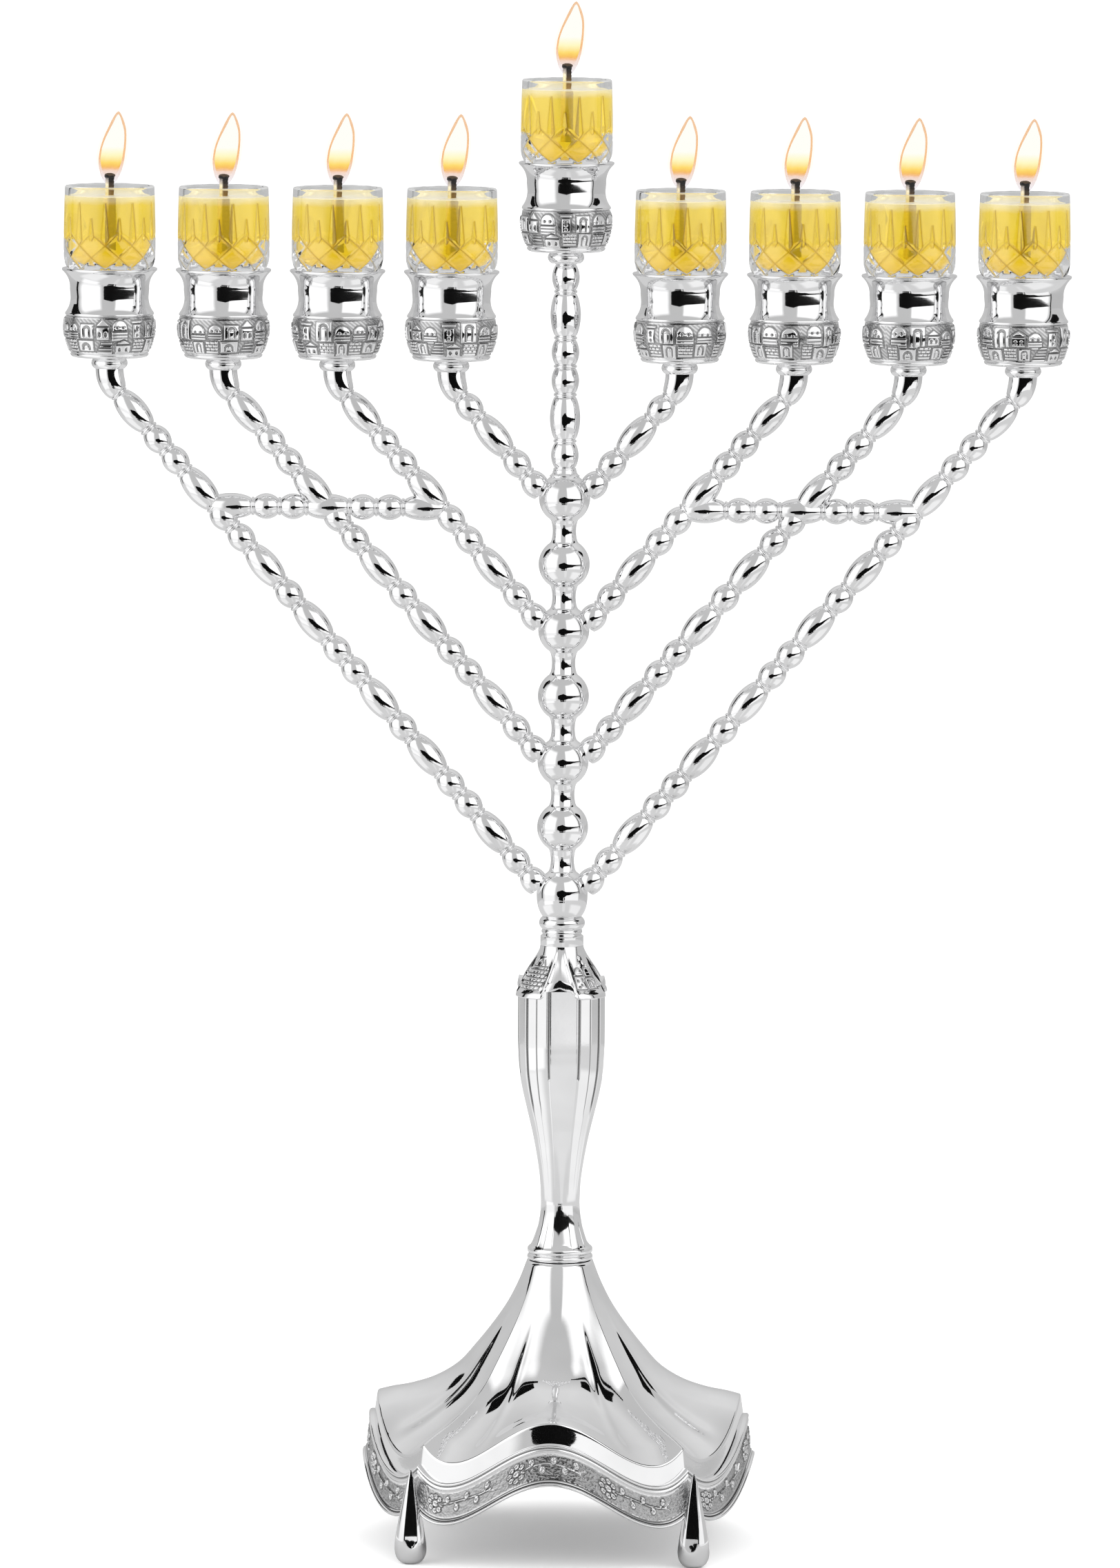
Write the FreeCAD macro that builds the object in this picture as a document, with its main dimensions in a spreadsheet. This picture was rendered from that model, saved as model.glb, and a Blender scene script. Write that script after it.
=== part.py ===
import FreeCAD, Part
import math
import os

import Sketcher

from FreeCAD import Placement, Rotation, Vector

# A nine-light oil menorah.  Eight beaded arms and a raised centre light rise from a column of
# seven balls, which a tie rod clamps to a baluster stem and a domed base on four cast feet.
# Millimetres.  The origin is on the floor under the centre of the base, +Z is up, and the
# arms spread along X.

DIMENSIONS = {
    # cup stations
    "cup_pitch": 36.15,
    "arm_cup_seat": 374.3,
    "shamash_cup_seat": 409.0,
    # metal cups
    "cup_height": 32.0,
    "cup_rim_radius": 15.1,
    "cup_mouth_radius": 14.3,
    "cup_waist_radius": 12.3,
    "cup_waist_height": 23.0,
    "cup_throat_radius": 11.0,
    "cup_flare_foot_radius": 14.0,
    "cup_flare_foot_height": 17.5,
    "cup_band_radius": 14.4,
    "cup_band_belly": 11.2,
    "cup_band_top": 16.7,
    "cup_band_arc": 26.0,
    "cup_bottom_radius": 11.8,
    "cup_lip_height": 1.0,
    "cup_rim_depth": 0.8,
    "cup_shelf_height": 24.0,
    "cup_collar_radius": 5.4,
    "cup_collar_height": 3.7,
    "socket_radius": 6.05,
    "socket_floor": 14.5,
    # glass oil cups
    "glass_floor_offset": 29.5,
    "glass_height": 28.5,
    "glass_body_radius": 14.5,
    "glass_rim_radius": 14.15,
    "glass_corner_radius": 5.5,
    "glass_wall": 1.3,
    "glass_floor_thickness": 2.6,
    "peg_radius": 5.7,
    "peg_length": 11.5,
    "oil_gap": 0.1,
    "oil_below_rim": 1.9,
    "wick_radius": 1.25,
    "wick_bottom": 11.0,
    "wick_above_rim": 7.0,
    "wick_clearance": 0.4,
    # cup screws
    "screw_radius": 1.25,
    "screw_hole_radius": 1.4,
    "screw_head_radius": 2.6,
    "screw_head_height": 2.0,
    "screw_reach": 4.0,
    "screw_hole_depth": 4.6,
    # beads of the arms
    "ring_half": 0.5,
    "arm_ring_radius": 2.9,
    "arm_foot_radius": 2.6,
    "arm_round_length": 8.8,
    "arm_round_arc": 6.0,
    "arm_oval_length": 14.6,
    "arm_oval_arc": 13.9,
    "elbow_radius": 12.1,
    "elbow_bead_radius": 4.1,
    # beads of the braces
    "brace_height": 331.0,
    "brace_ring_radius": 2.8,
    "brace_foot_radius": 2.5,
    "brace_round_length": 8.5,
    "brace_round_arc": 5.2,
    "brace_oval_length": 13.7,
    "brace_oval_arc": 14.0,
    "solder_gap": 0.05,
    # beads of the centre stem
    "stem_ring_radius": 3.5,
    "stem_foot_radius": 3.2,
    "stem_round_length": 9.0,
    "stem_round_arc": 7.8,
    "stem_oval_length": 14.7,
    "stem_oval_arc": 16.0,
    # column of balls
    "column_seat": 201.0,
    "column_height": 142.6,
    "column_neck_radius": 3.85,
    "ball_radius": 8.1,
    "ball_pitch": 21.0,
    "first_ball_height": 7.5,
    # stem between the base and the column
    "rod_radius": 3.0,
    "rod_bore_radius": 3.15,
    "rod_bottom": 66.0,
    "rod_length": 149.0,
    "rod_end_clearance": 1.0,
    "upper_collar_seat": 191.8,
    "upper_collar_height": 9.2,
    "drum_radius": 6.85,
    "drum_height": 3.2,
    "collar_neck_radius": 6.15,
    "collar_neck_top": 5.2,
    "collar_ring_radius": 7.05,
    "capital_seat": 175.0,
    "capital_skirt_radius": 14.6,
    "capital_skirt_height": 4.0,
    "capital_arc": 16.0,
    "baluster_seat": 93.0,
    "baluster_foot_radius": 10.25,
    "baluster_foot_height": 2.0,
    "baluster_foot_arc": 40.0,
    "baluster_waist_radius": 6.25,
    "baluster_waist_low": 14.5,
    "baluster_waist_high": 18.5,
    "baluster_neck_arc": 60.0,
    "baluster_swell_radius": 9.5,
    "baluster_swell_height": 38.9,
    "baluster_belly_radius": 12.0,
    "baluster_belly_height": 49.5,
    "baluster_shoulder_arc": 30.0,
    "baluster_shoulder_radius": 13.8,
    "baluster_shoulder_height": 61.0,
    "baluster_top_radius": 14.0,
    "lower_collar_seat": 90.5,
    "lower_collar_radius": 10.0,
    "lower_collar_arc": 2.0,
    "spigot_radius": 8.6,
    "spigot_length": 4.0,
    # fixings inside the base
    "washer_seat": 76.5,
    "washer_radius": 12.8,
    "washer_thickness": 2.0,
    "nut_corner_radius": 6.4,
    "nut_height": 5.0,
    "nut_thread_radius": 3.05,
    # domed base
    "base_neck_radius": 10.5,
    "base_neck_height": 90.5,
    "base_rim_radius": 57.7,
    "base_rim_height": 47.7,
    "base_wall": 1.3,
    "wave_depth": 14.8,
    "wave_lobe_angle": 35.0,
    "wave_cusp_rise": 4.4,
    "wave_fade_power": 1.3,
    # cast feet
    "foot_centre": 44.6,
    "foot_height": 29.7,
    "foot_pad_radius": 2.6,
    "foot_toe_radius": 5.15,
    "foot_toe_height": 5.2,
    "foot_toe_arc": 4.4,
    "foot_flank_arc": 70.0,
    "foot_tip_radius": 0.4,
}

# Beads of each arm from the cup end to the column: "O" is a long oval bead and "r" a short
# round one.  The last bead of an arm is cut to the ball it is brazed to.
ARM_BEADS = {1: "OrrOrrOrOrrOrOrrOrr", 2: "OrrOrrOrOrrOrr", 3: "OrrOrrOrr", 4: "rOrr"}
BRACE_BEADS = "OrrOrrO"
STEM_BEADS = "rOrrOr"
BALLS = 7
SIDES = {"left": -1, "right": 1}

# The flank of the bell in the middle of one side: radius and height between the neck and the rim.
BELL_FLANK = [(13.0, 84.0), (16.5, 77.0), (21.0, 70.3), (26.6, 63.2), (32.2, 57.0),
              (39.3, 52.6), (47.0, 50.0), (53.3, 48.8)]

# The skirt hangs from the rim: radius and drop below it, down the outside and up the inside.
SKIRT_OUTSIDE = [(57.3, 6.0), (60.5, 6.5), (60.4, 9.9), (61.9, 18.0), (62.7, 18.5), (62.7, 19.0)]
SKIRT_INSIDE = [(61.3, 19.0), (59.1, 9.0), (59.1, 7.8), (56.2, 7.3)]

doc = FreeCAD.newDocument("menorah")
sheet = doc.addObject("Spreadsheet::Sheet", "dims")
for row, (alias, number) in enumerate(DIMENSIONS.items(), start=1):
    sheet.set(f"A{row}", alias)
    sheet.set(f"B{row}", str(number))
    sheet.setAlias(f"B{row}", alias)
doc.recompute()

nodes = {}


class Size:
    """A length with its number and the expression that binds it to the sheet."""

    def __init__(self, number, text):
        self.number = number
        self.text = text

    def __add__(self, other):
        other = as_size(other)
        return Size(self.number + other.number, f"({self.text} + {other.text})")

    def __radd__(self, other):
        return as_size(other) + self

    def __sub__(self, other):
        other = as_size(other)
        return Size(self.number - other.number, f"({self.text} - {other.text})")

    def __rsub__(self, other):
        return as_size(other) - self

    def __mul__(self, other):
        other = as_size(other)
        return Size(self.number * other.number, f"({self.text} * {other.text})")

    def __rmul__(self, other):
        return as_size(other) * self

    def __truediv__(self, other):
        other = as_size(other)
        return Size(self.number / other.number, f"({self.text} / {other.text})")

    def __neg__(self):
        return as_size(0) - self


class Sheet:
    """The driving dimensions, each read by its name."""

    def __getattr__(self, alias):
        return Size(float(sheet.get(alias)), f"dims.{alias}")


def as_size(value):
    if isinstance(value, Size):
        return value
    return Size(float(value), repr(float(value)))


def root(size):
    return Size(math.sqrt(size.number), f"sqrt({size.text})")


def arctangent(size):
    """The angle in degrees whose tangent is this ratio."""
    return Size(math.degrees(math.atan(size.number)), f"atan({size.text})")


def sine(angle):
    return Size(math.sin(math.radians(angle.number)), f"sin({angle.text})")


def cosine(angle):
    return Size(math.cos(math.radians(angle.number)), f"cos({angle.text})")


dim = Sheet()


def bind(thing, path, size):
    """Give a property its number and keep it bound to the sheet."""
    thing.setExpression(path, as_size(size).text)


def node(name, thing):
    """Name a finished sub-part and list it for export."""
    thing.Label = name
    nodes[name] = thing
    return thing


def place(thing, x=0, y=0, z=0, rotation=Rotation()):
    """Put a sub-part in the object's frame, its position bound to the sheet."""
    position = [as_size(value) for value in (x, y, z)]
    thing.Placement = Placement(Vector(*[size.number for size in position]), rotation)
    for axis, size in zip("xyz", position):
        if size.number:
            bind(thing, f".Placement.Base.{axis}", size)
    return thing


def origin_plane(body, role):
    for feature in body.Origin.OriginFeatures:
        if feature.Role == role:
            return feature
    raise ValueError(role)


def new_sketch(body, name, role):
    sketch = body.newObject("Sketcher::SketchObject", name)
    sketch.AttachmentSupport = [(origin_plane(body, role), "")]
    sketch.MapMode = "FlatFace"
    return sketch


def arc_between(start, end, radius):
    """The shorter arc of this radius, turning left for a positive radius.

    A sketch keeps every arc anticlockwise, so one that turns right is drawn from its end.
    """
    if radius < 0:
        start, end = end, start
    chord = end - start
    half = chord.Length / 2
    sagitta = abs(radius) - math.sqrt(radius * radius - half * half)
    right = Vector(chord.y, -chord.x, 0).normalize()
    middle = (start + end) * 0.5 + right * sagitta
    return Part.Arc(start, middle, end)


def draw_outline(sketch, outline):
    """Draw a closed outline with every corner bound to the sheet.

    Each entry is the radius and height of a corner, and the radius of the arc that leads
    to it from the corner before, if that side is not straight.
    """
    corners = [(as_size(entry[0]), as_size(entry[1])) for entry in outline]
    points = [Vector(radius.number, height.number, 0) for radius, height in corners]
    geometry = []
    arcs = {}
    for index, entry in enumerate(outline):
        start = points[index - 1]
        end = points[index]
        if len(entry) == 3:
            arcs[index] = as_size(entry[2])
            geometry.append(arc_between(start, end, arcs[index].number))
        else:
            geometry.append(Part.LineSegment(start, end))
    sketch.addGeometry(geometry, False)

    ends = []
    for index, element in enumerate(sketch.Geometry):
        forward = element.StartPoint.distanceToPoint(points[index - 1]) < 1e-6
        ends.append((1, 2) if forward else (2, 1))

    constraints = []
    bound = {}
    for index, (radius, height) in enumerate(corners):
        following = (index + 1) % len(corners)
        constraints.append(Sketcher.Constraint(
            "Coincident", index, ends[index][1], following, ends[following][0]))
        for kind, size in (("DistanceX", radius), ("DistanceY", height)):
            bound[len(constraints)] = size
            constraints.append(Sketcher.Constraint(
                kind, -1, 1, index, ends[index][1], size.number))
    for index, radius in arcs.items():
        bound[len(constraints)] = radius if radius.number > 0 else -radius
        constraints.append(Sketcher.Constraint("Radius", index, abs(radius.number)))
    sketch.addConstraint(constraints)
    for index, size in bound.items():
        if "dims" in size.text:
            sketch.setExpression(f"Constraints[{index}]", size.text)


def turned(name, outline):
    """A body turned about its own Z axis from an outline of radius and height."""
    body = doc.addObject("PartDesign::Body", name)
    sketch = new_sketch(body, name + "_outline", "XZ_Plane")
    draw_outline(sketch, outline)
    turn = body.newObject("PartDesign::Revolution", name + "_turn")
    turn.Profile = sketch
    turn.ReferenceAxis = (sketch, ["V_Axis"])
    turn.Angle = 360
    return body


def bead_outline(beads, kind):
    """The outline of a string of beads with a thin ring at each join."""
    sizes = {"r": (getattr(dim, kind + "_round_length"), getattr(dim, kind + "_round_arc")),
             "O": (getattr(dim, kind + "_oval_length"), getattr(dim, kind + "_oval_arc"))}
    ring = getattr(dim, kind + "_ring_radius")
    foot = getattr(dim, kind + "_foot_radius")
    outline = [(0, 0), (ring, 0)]
    counts = {"r": 0, "O": 0}
    for bead in beads:
        start = counts["r"] * sizes["r"][0] + counts["O"] * sizes["O"][0]
        length, arc = sizes[bead]
        outline.append((ring, start + dim.ring_half))
        outline.append((foot, start + dim.ring_half))
        outline.append((foot, start + length - dim.ring_half, arc))
        outline.append((ring, start + length - dim.ring_half))
        counts[bead] += 1
    end = counts["r"] * sizes["r"][0] + counts["O"] * sizes["O"][0]
    outline.append((ring, end))
    outline.append((0, end))
    return outline, end


def drill_from_top(body, name, top):
    """Drill the blind hole for a cup screw down from the top of a body."""
    drill = body.newObject("PartDesign::SubtractiveCylinder", name)
    drill.AttachmentSupport = [(origin_plane(body, "XY_Plane"), "")]
    drill.MapMode = "FlatFace"
    bind(drill, "Radius", dim.screw_hole_radius)
    bind(drill, "Height", dim.screw_hole_depth)
    bind(drill, ".AttachmentOffset.Base.z", as_size(top) - dim.screw_hole_depth)
    return drill


def cut_away(name, base, tool):
    cut = doc.addObject("Part::Cut", name)
    cut.Base = base
    cut.Tool = tool
    return cut


# ---------------------------------------------------------------- base

def rim_wave(angle):
    """How far the rim drops at an angle in degrees from the middle of a side."""
    depth = dim.wave_depth.number
    lobe = dim.wave_lobe_angle.number
    swing = abs(angle)
    if swing <= lobe:
        return depth * (1 - math.cos(math.pi * swing / lobe)) / 2
    return depth - dim.wave_cusp_rise.number * ((swing - lobe) / (45 - lobe)) ** 2


def bell_fade(radius):
    """The share of the rim's wave that reaches this radius of the bell."""
    neck = dim.base_neck_radius.number
    reach = max(0.0, (radius - neck) / (dim.base_rim_radius.number - neck))
    return reach ** dim.wave_fade_power.number


def rail(radius, height, share):
    """Points of one quadrant at a radius, the height waving with the rim."""
    points = []
    for angle in range(-45, 46, 5):
        turn = math.radians(angle)
        level = height - share * rim_wave(angle)
        points.append(Vector(radius * math.cos(turn), radius * math.sin(turn), level))
    return points


def inset(outline, wall):
    """An outline moved towards the inside of the bell by the wall thickness."""
    moved = []
    for index, (radius, height) in enumerate(outline):
        before = outline[max(index - 1, 0)]
        after = outline[min(index + 1, len(outline) - 1)]
        along = Vector(after[0] - before[0], after[1] - before[1], 0).normalize()
        moved.append((radius + wall * along.y, height - wall * along.x))
    return moved


def build_base_shell():
    """The pressed dome: a quadrant of skins and walls, repeated four times and sewn."""
    wall = dim.base_wall.number
    rim = dim.base_rim_height.number
    neck = dim.base_neck_height.number
    outline = [(dim.base_neck_radius.number, neck)] + BELL_FLANK + [(dim.base_rim_radius.number, rim)]
    outer = [rail(radius, height, bell_fade(radius)) for radius, height in outline]
    inner_outline = inset(outline, wall)
    inner_outline[0] = (inner_outline[0][0], neck)
    inner = [rail(radius, height, bell_fade(radius)) for radius, height in inner_outline]
    inner[-1] = rail(SKIRT_INSIDE[-1][0], rim - wall, 1.0)
    skirt = [rail(radius, rim - drop, 1.0) for radius, drop in SKIRT_OUTSIDE + SKIRT_INSIDE]

    def edge(points):
        curve = Part.BSplineCurve()
        curve.interpolate(points)
        return curve.toShape()

    def skin(rails):
        return Part.makeLoft([Part.Wire(edge(points)) for points in rails], False, False)

    quadrant = [skin(outer), skin(inner)]
    hanging = [outer[-1]] + skirt + [inner[-1]]
    for above, below in zip(hanging, hanging[1:]):
        quadrant.append(Part.makeRuledSurface(edge(above), edge(below)))
    quadrant.append(Part.makeRuledSurface(edge(outer[0]), edge(inner[0])))

    faces = []
    for quarter in range(4):
        for face in quadrant:
            copy = face.copy()
            copy.rotate(Vector(0, 0, 0), Vector(0, 0, 1), 90 * quarter)
            faces.extend(copy.Faces)
    shell = Part.makeShell(faces)
    shell.sewShape(0.02)
    solid = Part.makeSolid(shell)
    if solid.Volume < 0:
        solid.reverse()
    shell_node = doc.addObject("Part::Feature", "base_shell")
    shell_node.Shape = solid
    return node("base_shell", shell_node)


def build_feet(base_shell):
    """Four cast feet with pointed tops, each notched where the skirt passes through it."""
    outline = [
        (0, 0),
        (dim.foot_pad_radius, 0),
        (dim.foot_toe_radius, dim.foot_toe_height, dim.foot_toe_arc),
        (dim.foot_tip_radius, dim.foot_height, dim.foot_flank_arc),
        (0, dim.foot_height),
    ]
    blank = place(turned("foot_blank", outline), dim.foot_centre, dim.foot_centre)
    foot = cut_away("foot_notched", blank, base_shell)
    doc.recompute()
    copies = []
    for quarter in range(4):
        copy = foot.Shape.copy()
        copy.rotate(Vector(0, 0, 0), Vector(0, 0, 1), 90 * quarter)
        copies.extend(copy.Solids)
    feet = doc.addObject("Part::Feature", "feet")
    feet.Shape = Part.makeCompound(copies)
    return node("feet", feet)


# ---------------------------------------------------------------- stem

def build_stem():
    """The turned pieces that the tie rod clamps together, from the base up."""
    bore = dim.rod_bore_radius
    spigot = dim.spigot_length
    ring_top = spigot + dim.baluster_seat - dim.lower_collar_seat
    collar = turned("lower_collar", [
        (bore, 0),
        (dim.spigot_radius, 0),
        (dim.spigot_radius, spigot),
        (dim.lower_collar_radius, spigot),
        (dim.lower_collar_radius, ring_top, dim.lower_collar_arc),
        (bore, ring_top),
    ])
    node("lower_collar", place(collar, z=dim.lower_collar_seat - spigot))

    top = dim.capital_seat - dim.baluster_seat
    baluster = turned("baluster", [
        (bore, 0),
        (dim.baluster_foot_radius, 0),
        (dim.baluster_foot_radius, dim.baluster_foot_height),
        (dim.baluster_waist_radius, dim.baluster_waist_low, -dim.baluster_foot_arc),
        (dim.baluster_waist_radius, dim.baluster_waist_high),
        (dim.baluster_swell_radius, dim.baluster_swell_height, -dim.baluster_neck_arc),
        (dim.baluster_belly_radius, dim.baluster_belly_height),
        (dim.baluster_shoulder_radius, dim.baluster_shoulder_height, dim.baluster_shoulder_arc),
        (dim.baluster_top_radius, top),
        (bore, top),
    ])
    node("baluster", place(baluster, z=dim.baluster_seat))

    capital_top = dim.upper_collar_seat - dim.capital_seat
    capital = turned("capital", [
        (bore, 0),
        (dim.capital_skirt_radius, 0),
        (dim.capital_skirt_radius, dim.capital_skirt_height),
        (dim.drum_radius, capital_top, -dim.capital_arc),
        (bore, capital_top),
    ])
    node("capital", place(capital, z=dim.capital_seat))

    upper_collar = turned("upper_collar", [
        (bore, 0),
        (dim.drum_radius, 0),
        (dim.drum_radius, dim.drum_height),
        (dim.collar_neck_radius, dim.drum_height),
        (dim.collar_neck_radius, dim.collar_neck_top),
        (dim.collar_ring_radius, dim.collar_neck_top),
        (dim.collar_ring_radius, dim.upper_collar_height),
        (bore, dim.upper_collar_height),
    ])
    node("upper_collar", place(upper_collar, z=dim.upper_collar_seat))

    half_chord = root(dim.ball_radius * dim.ball_radius
                      - dim.column_neck_radius * dim.column_neck_radius)
    bore_top = dim.rod_bottom + dim.rod_length + dim.rod_end_clearance - dim.column_seat
    column_outline = [(bore, 0), (dim.column_neck_radius, 0)]
    for ball in range(BALLS):
        centre = dim.first_ball_height + ball * dim.ball_pitch
        column_outline.append((dim.column_neck_radius, centre - half_chord))
        column_outline.append((dim.column_neck_radius, centre + half_chord, dim.ball_radius))
    column_outline.append((dim.column_neck_radius, dim.column_height))
    column_outline.append((0, dim.column_height))
    column_outline.append((0, bore_top))
    column_outline.append((bore, bore_top))
    node("column", place(turned("column", column_outline), z=dim.column_seat))

    stem_outline, stem_length = bead_outline(STEM_BEADS, "stem")
    stem = turned("shamash_stem", stem_outline)
    drill_from_top(stem, "shamash_stem_screw_hole", stem_length)
    node("shamash_stem", place(stem, z=dim.column_seat + dim.column_height))


def build_fixings():
    """The tie rod with its nut and washer, hidden inside the base and the stem."""
    rod = doc.addObject("Part::Cylinder", "tie_rod")
    bind(rod, "Radius", dim.rod_radius)
    bind(rod, "Height", dim.rod_length)
    node("tie_rod", place(rod, z=dim.rod_bottom))

    washer = turned("base_washer", [
        (dim.rod_bore_radius, 0),
        (dim.washer_radius, 0),
        (dim.washer_radius, dim.washer_thickness),
        (dim.rod_bore_radius, dim.washer_thickness),
    ])
    node("base_washer", place(washer, z=dim.washer_seat))

    hexagon = doc.addObject("Part::Prism", "nut_blank")
    hexagon.Polygon = 6
    bind(hexagon, "Circumradius", dim.nut_corner_radius)
    bind(hexagon, "Height", dim.nut_height)
    thread = doc.addObject("Part::Cylinder", "nut_thread")
    bind(thread, "Radius", dim.nut_thread_radius)
    bind(thread, "Height", dim.nut_height)
    nut = cut_away("base_nut", hexagon, thread)
    node("base_nut", place(nut, z=dim.washer_seat - dim.nut_height))


# ---------------------------------------------------------------- arms and braces

ARM_LEAN = arctangent(dim.cup_pitch / (2 * dim.ball_pitch))
ELBOW_IN = dim.elbow_radius * (1 - cosine(ARM_LEAN))
ELBOW_DOWN = dim.elbow_radius * sine(ARM_LEAN)


def arm_station(arm):
    """The distance of an arm's cup from the centre line."""
    return (5 - arm) * dim.cup_pitch


def build_arm(arm, side):
    """One arm: an elbow under its cup, then a straight string of beads to its ball.

    In its own frame the arm hangs from the cup's collar at the origin and leans towards -X.
    """
    name = f"arm_{side}_{arm}"
    body = doc.addObject("PartDesign::Body", name + "_beads")

    bend = new_sketch(body, name + "_bend_section", "XY_Plane")
    bend.addGeometry(Part.Circle(Vector(0, 0, 0), Vector(0, 0, 1), dim.arm_ring_radius.number), False)
    pivot = -dim.elbow_radius.number
    bend.addGeometry(Part.LineSegment(Vector(pivot, -5, 0), Vector(pivot, 5, 0)), True)
    bend.addConstraint([
        Sketcher.Constraint("Coincident", 0, 3, -1, 1),
        Sketcher.Constraint("Radius", 0, dim.arm_ring_radius.number),
        Sketcher.Constraint("Vertical", 1),
        Sketcher.Constraint("DistanceX", 1, 1, -1, 1, dim.elbow_radius.number),
    ])
    bend.setExpression("Constraints[1]", dim.arm_ring_radius.text)
    bend.setExpression("Constraints[3]", dim.elbow_radius.text)
    elbow = body.newObject("PartDesign::Revolution", name + "_elbow")
    elbow.Profile = bend
    elbow.ReferenceAxis = (bend, ["Axis0"])
    bind(elbow, "Angle", ARM_LEAN)

    half_turn = ARM_LEAN / 2
    bead = body.newObject("PartDesign::AdditiveSphere", name + "_elbow_bead")
    bead.AttachmentSupport = [(origin_plane(body, "XY_Plane"), "")]
    bead.MapMode = "FlatFace"
    bind(bead, "Radius", dim.elbow_bead_radius)
    bind(bead, ".AttachmentOffset.Base.x", -(dim.elbow_radius * (1 - cosine(half_turn))))
    bind(bead, ".AttachmentOffset.Base.z", -(dim.elbow_radius * sine(half_turn)))

    outline, _ = bead_outline(ARM_BEADS[arm], "arm")
    string = new_sketch(body, name + "_string_outline", "XZ_Plane")
    string.AttachmentOffset = Placement(Vector(-ELBOW_IN.number, -ELBOW_DOWN.number, 0),
                                        Rotation(Vector(0, 0, 1), 180 - ARM_LEAN.number))
    draw_outline(string, outline)
    beads = body.newObject("PartDesign::Revolution", name + "_string")
    beads.Profile = string
    beads.ReferenceAxis = (string, ["V_Axis"])
    beads.Angle = 360
    drill_from_top(body, name + "_screw_hole", 0)

    facing = Rotation() if SIDES[side] > 0 else Rotation(Vector(0, 0, 1), 180)
    place(body, SIDES[side] * arm_station(arm), 0, dim.arm_cup_seat, facing)

    ball = doc.addObject("Part::Sphere", name + "_ball_seat")
    bind(ball, "Radius", dim.ball_radius + dim.solder_gap)
    place(ball, z=dim.column_seat + dim.first_ball_height + 2 * (arm - 1) * dim.ball_pitch)
    return node(name, cut_away(name, body, ball))


def build_brace(side, arms):
    """A horizontal string of beads from the first arm across the second to the third."""
    outline, length = bead_outline(BRACE_BEADS, "brace")
    drop = dim.arm_cup_seat - ELBOW_DOWN - dim.brace_height
    middle = arm_station(2) - ELBOW_IN - drop * (dim.cup_pitch / (2 * dim.ball_pitch))
    blank = turned(f"brace_{side}_blank", outline)
    along = Rotation(Vector(0, 1, 0), 90)
    start = SIDES[side] * middle - length / 2
    place(blank, start, 0, dim.brace_height, along)
    piece = blank
    for arm in (1, 2, 3):
        piece = cut_away(f"brace_{side}_coped_{arm}", piece, arms[side, arm])
    return node(f"brace_{side}", piece)


# ---------------------------------------------------------------- lights

def build_light(name, x, seat):
    """A metal cup with its glass, the oil in the glass and the wick."""
    collar = dim.cup_collar_height
    lip = collar + dim.cup_lip_height
    cup = turned("cup_" + name, [
        (dim.screw_hole_radius, 0),
        (dim.cup_collar_radius, 0),
        (dim.cup_collar_radius, collar),
        (dim.cup_bottom_radius, collar),
        (dim.cup_bottom_radius, lip),
        (dim.cup_band_radius, dim.cup_band_belly, dim.cup_band_arc / 2),
        (dim.cup_band_radius, dim.cup_band_top, dim.cup_band_arc),
        (dim.cup_flare_foot_radius, dim.cup_flare_foot_height),
        (dim.cup_waist_radius, dim.cup_waist_height, -dim.cup_band_arc / 2),
        (dim.cup_rim_radius, dim.cup_height - dim.cup_rim_depth, -dim.cup_band_arc),
        (dim.cup_rim_radius, dim.cup_height),
        (dim.cup_mouth_radius, dim.cup_height),
        (dim.cup_throat_radius, dim.cup_shelf_height, dim.cup_band_arc),
        (dim.socket_radius, dim.cup_shelf_height),
        (dim.socket_radius, dim.socket_floor),
        (dim.screw_hole_radius, dim.socket_floor),
    ])
    node("cup_" + name, place(cup, x, 0, seat))

    peg = dim.peg_length
    wall = dim.glass_wall
    corner = dim.glass_corner_radius
    brim = peg + dim.glass_height
    floor = peg + dim.glass_floor_thickness
    inside = dim.glass_body_radius - wall
    glass = turned("glass_" + name, [
        (0, 0),
        (dim.peg_radius, 0),
        (dim.peg_radius, peg),
        (dim.glass_body_radius - corner, peg),
        (dim.glass_body_radius, peg + corner, corner),
        (dim.glass_rim_radius, brim),
        (dim.glass_rim_radius - wall, brim),
        (inside, peg + corner),
        (inside + wall - corner, floor, -(corner - wall)),
        (0, floor),
    ])
    glass_seat = seat + dim.glass_floor_offset - peg
    node("glass_" + name, place(glass, x, 0, glass_seat))

    gap = dim.oil_gap
    depth = dim.glass_height - dim.oil_below_rim - dim.glass_floor_thickness - gap
    swell = corner - dim.glass_floor_thickness - gap
    hole = dim.wick_radius + dim.wick_clearance
    hole_floor = dim.wick_bottom - dim.glass_floor_thickness - gap - dim.wick_clearance
    oil = turned("oil_" + name, [
        (0, 0),
        (inside + wall - corner - gap, 0),
        (inside - gap, swell, corner - wall),
        (dim.glass_rim_radius - wall - gap, depth),
        (hole, depth),
        (hole, hole_floor),
        (0, hole_floor),
    ])
    node("oil_" + name, place(oil, x, 0, glass_seat + floor + gap))

    wick = doc.addObject("Part::Cylinder", "wick_" + name)
    bind(wick, "Radius", dim.wick_radius)
    bind(wick, "Height", dim.glass_height + dim.wick_above_rim - dim.wick_bottom)
    node("wick_" + name, place(wick, x, 0, glass_seat + peg + dim.wick_bottom))


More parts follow.
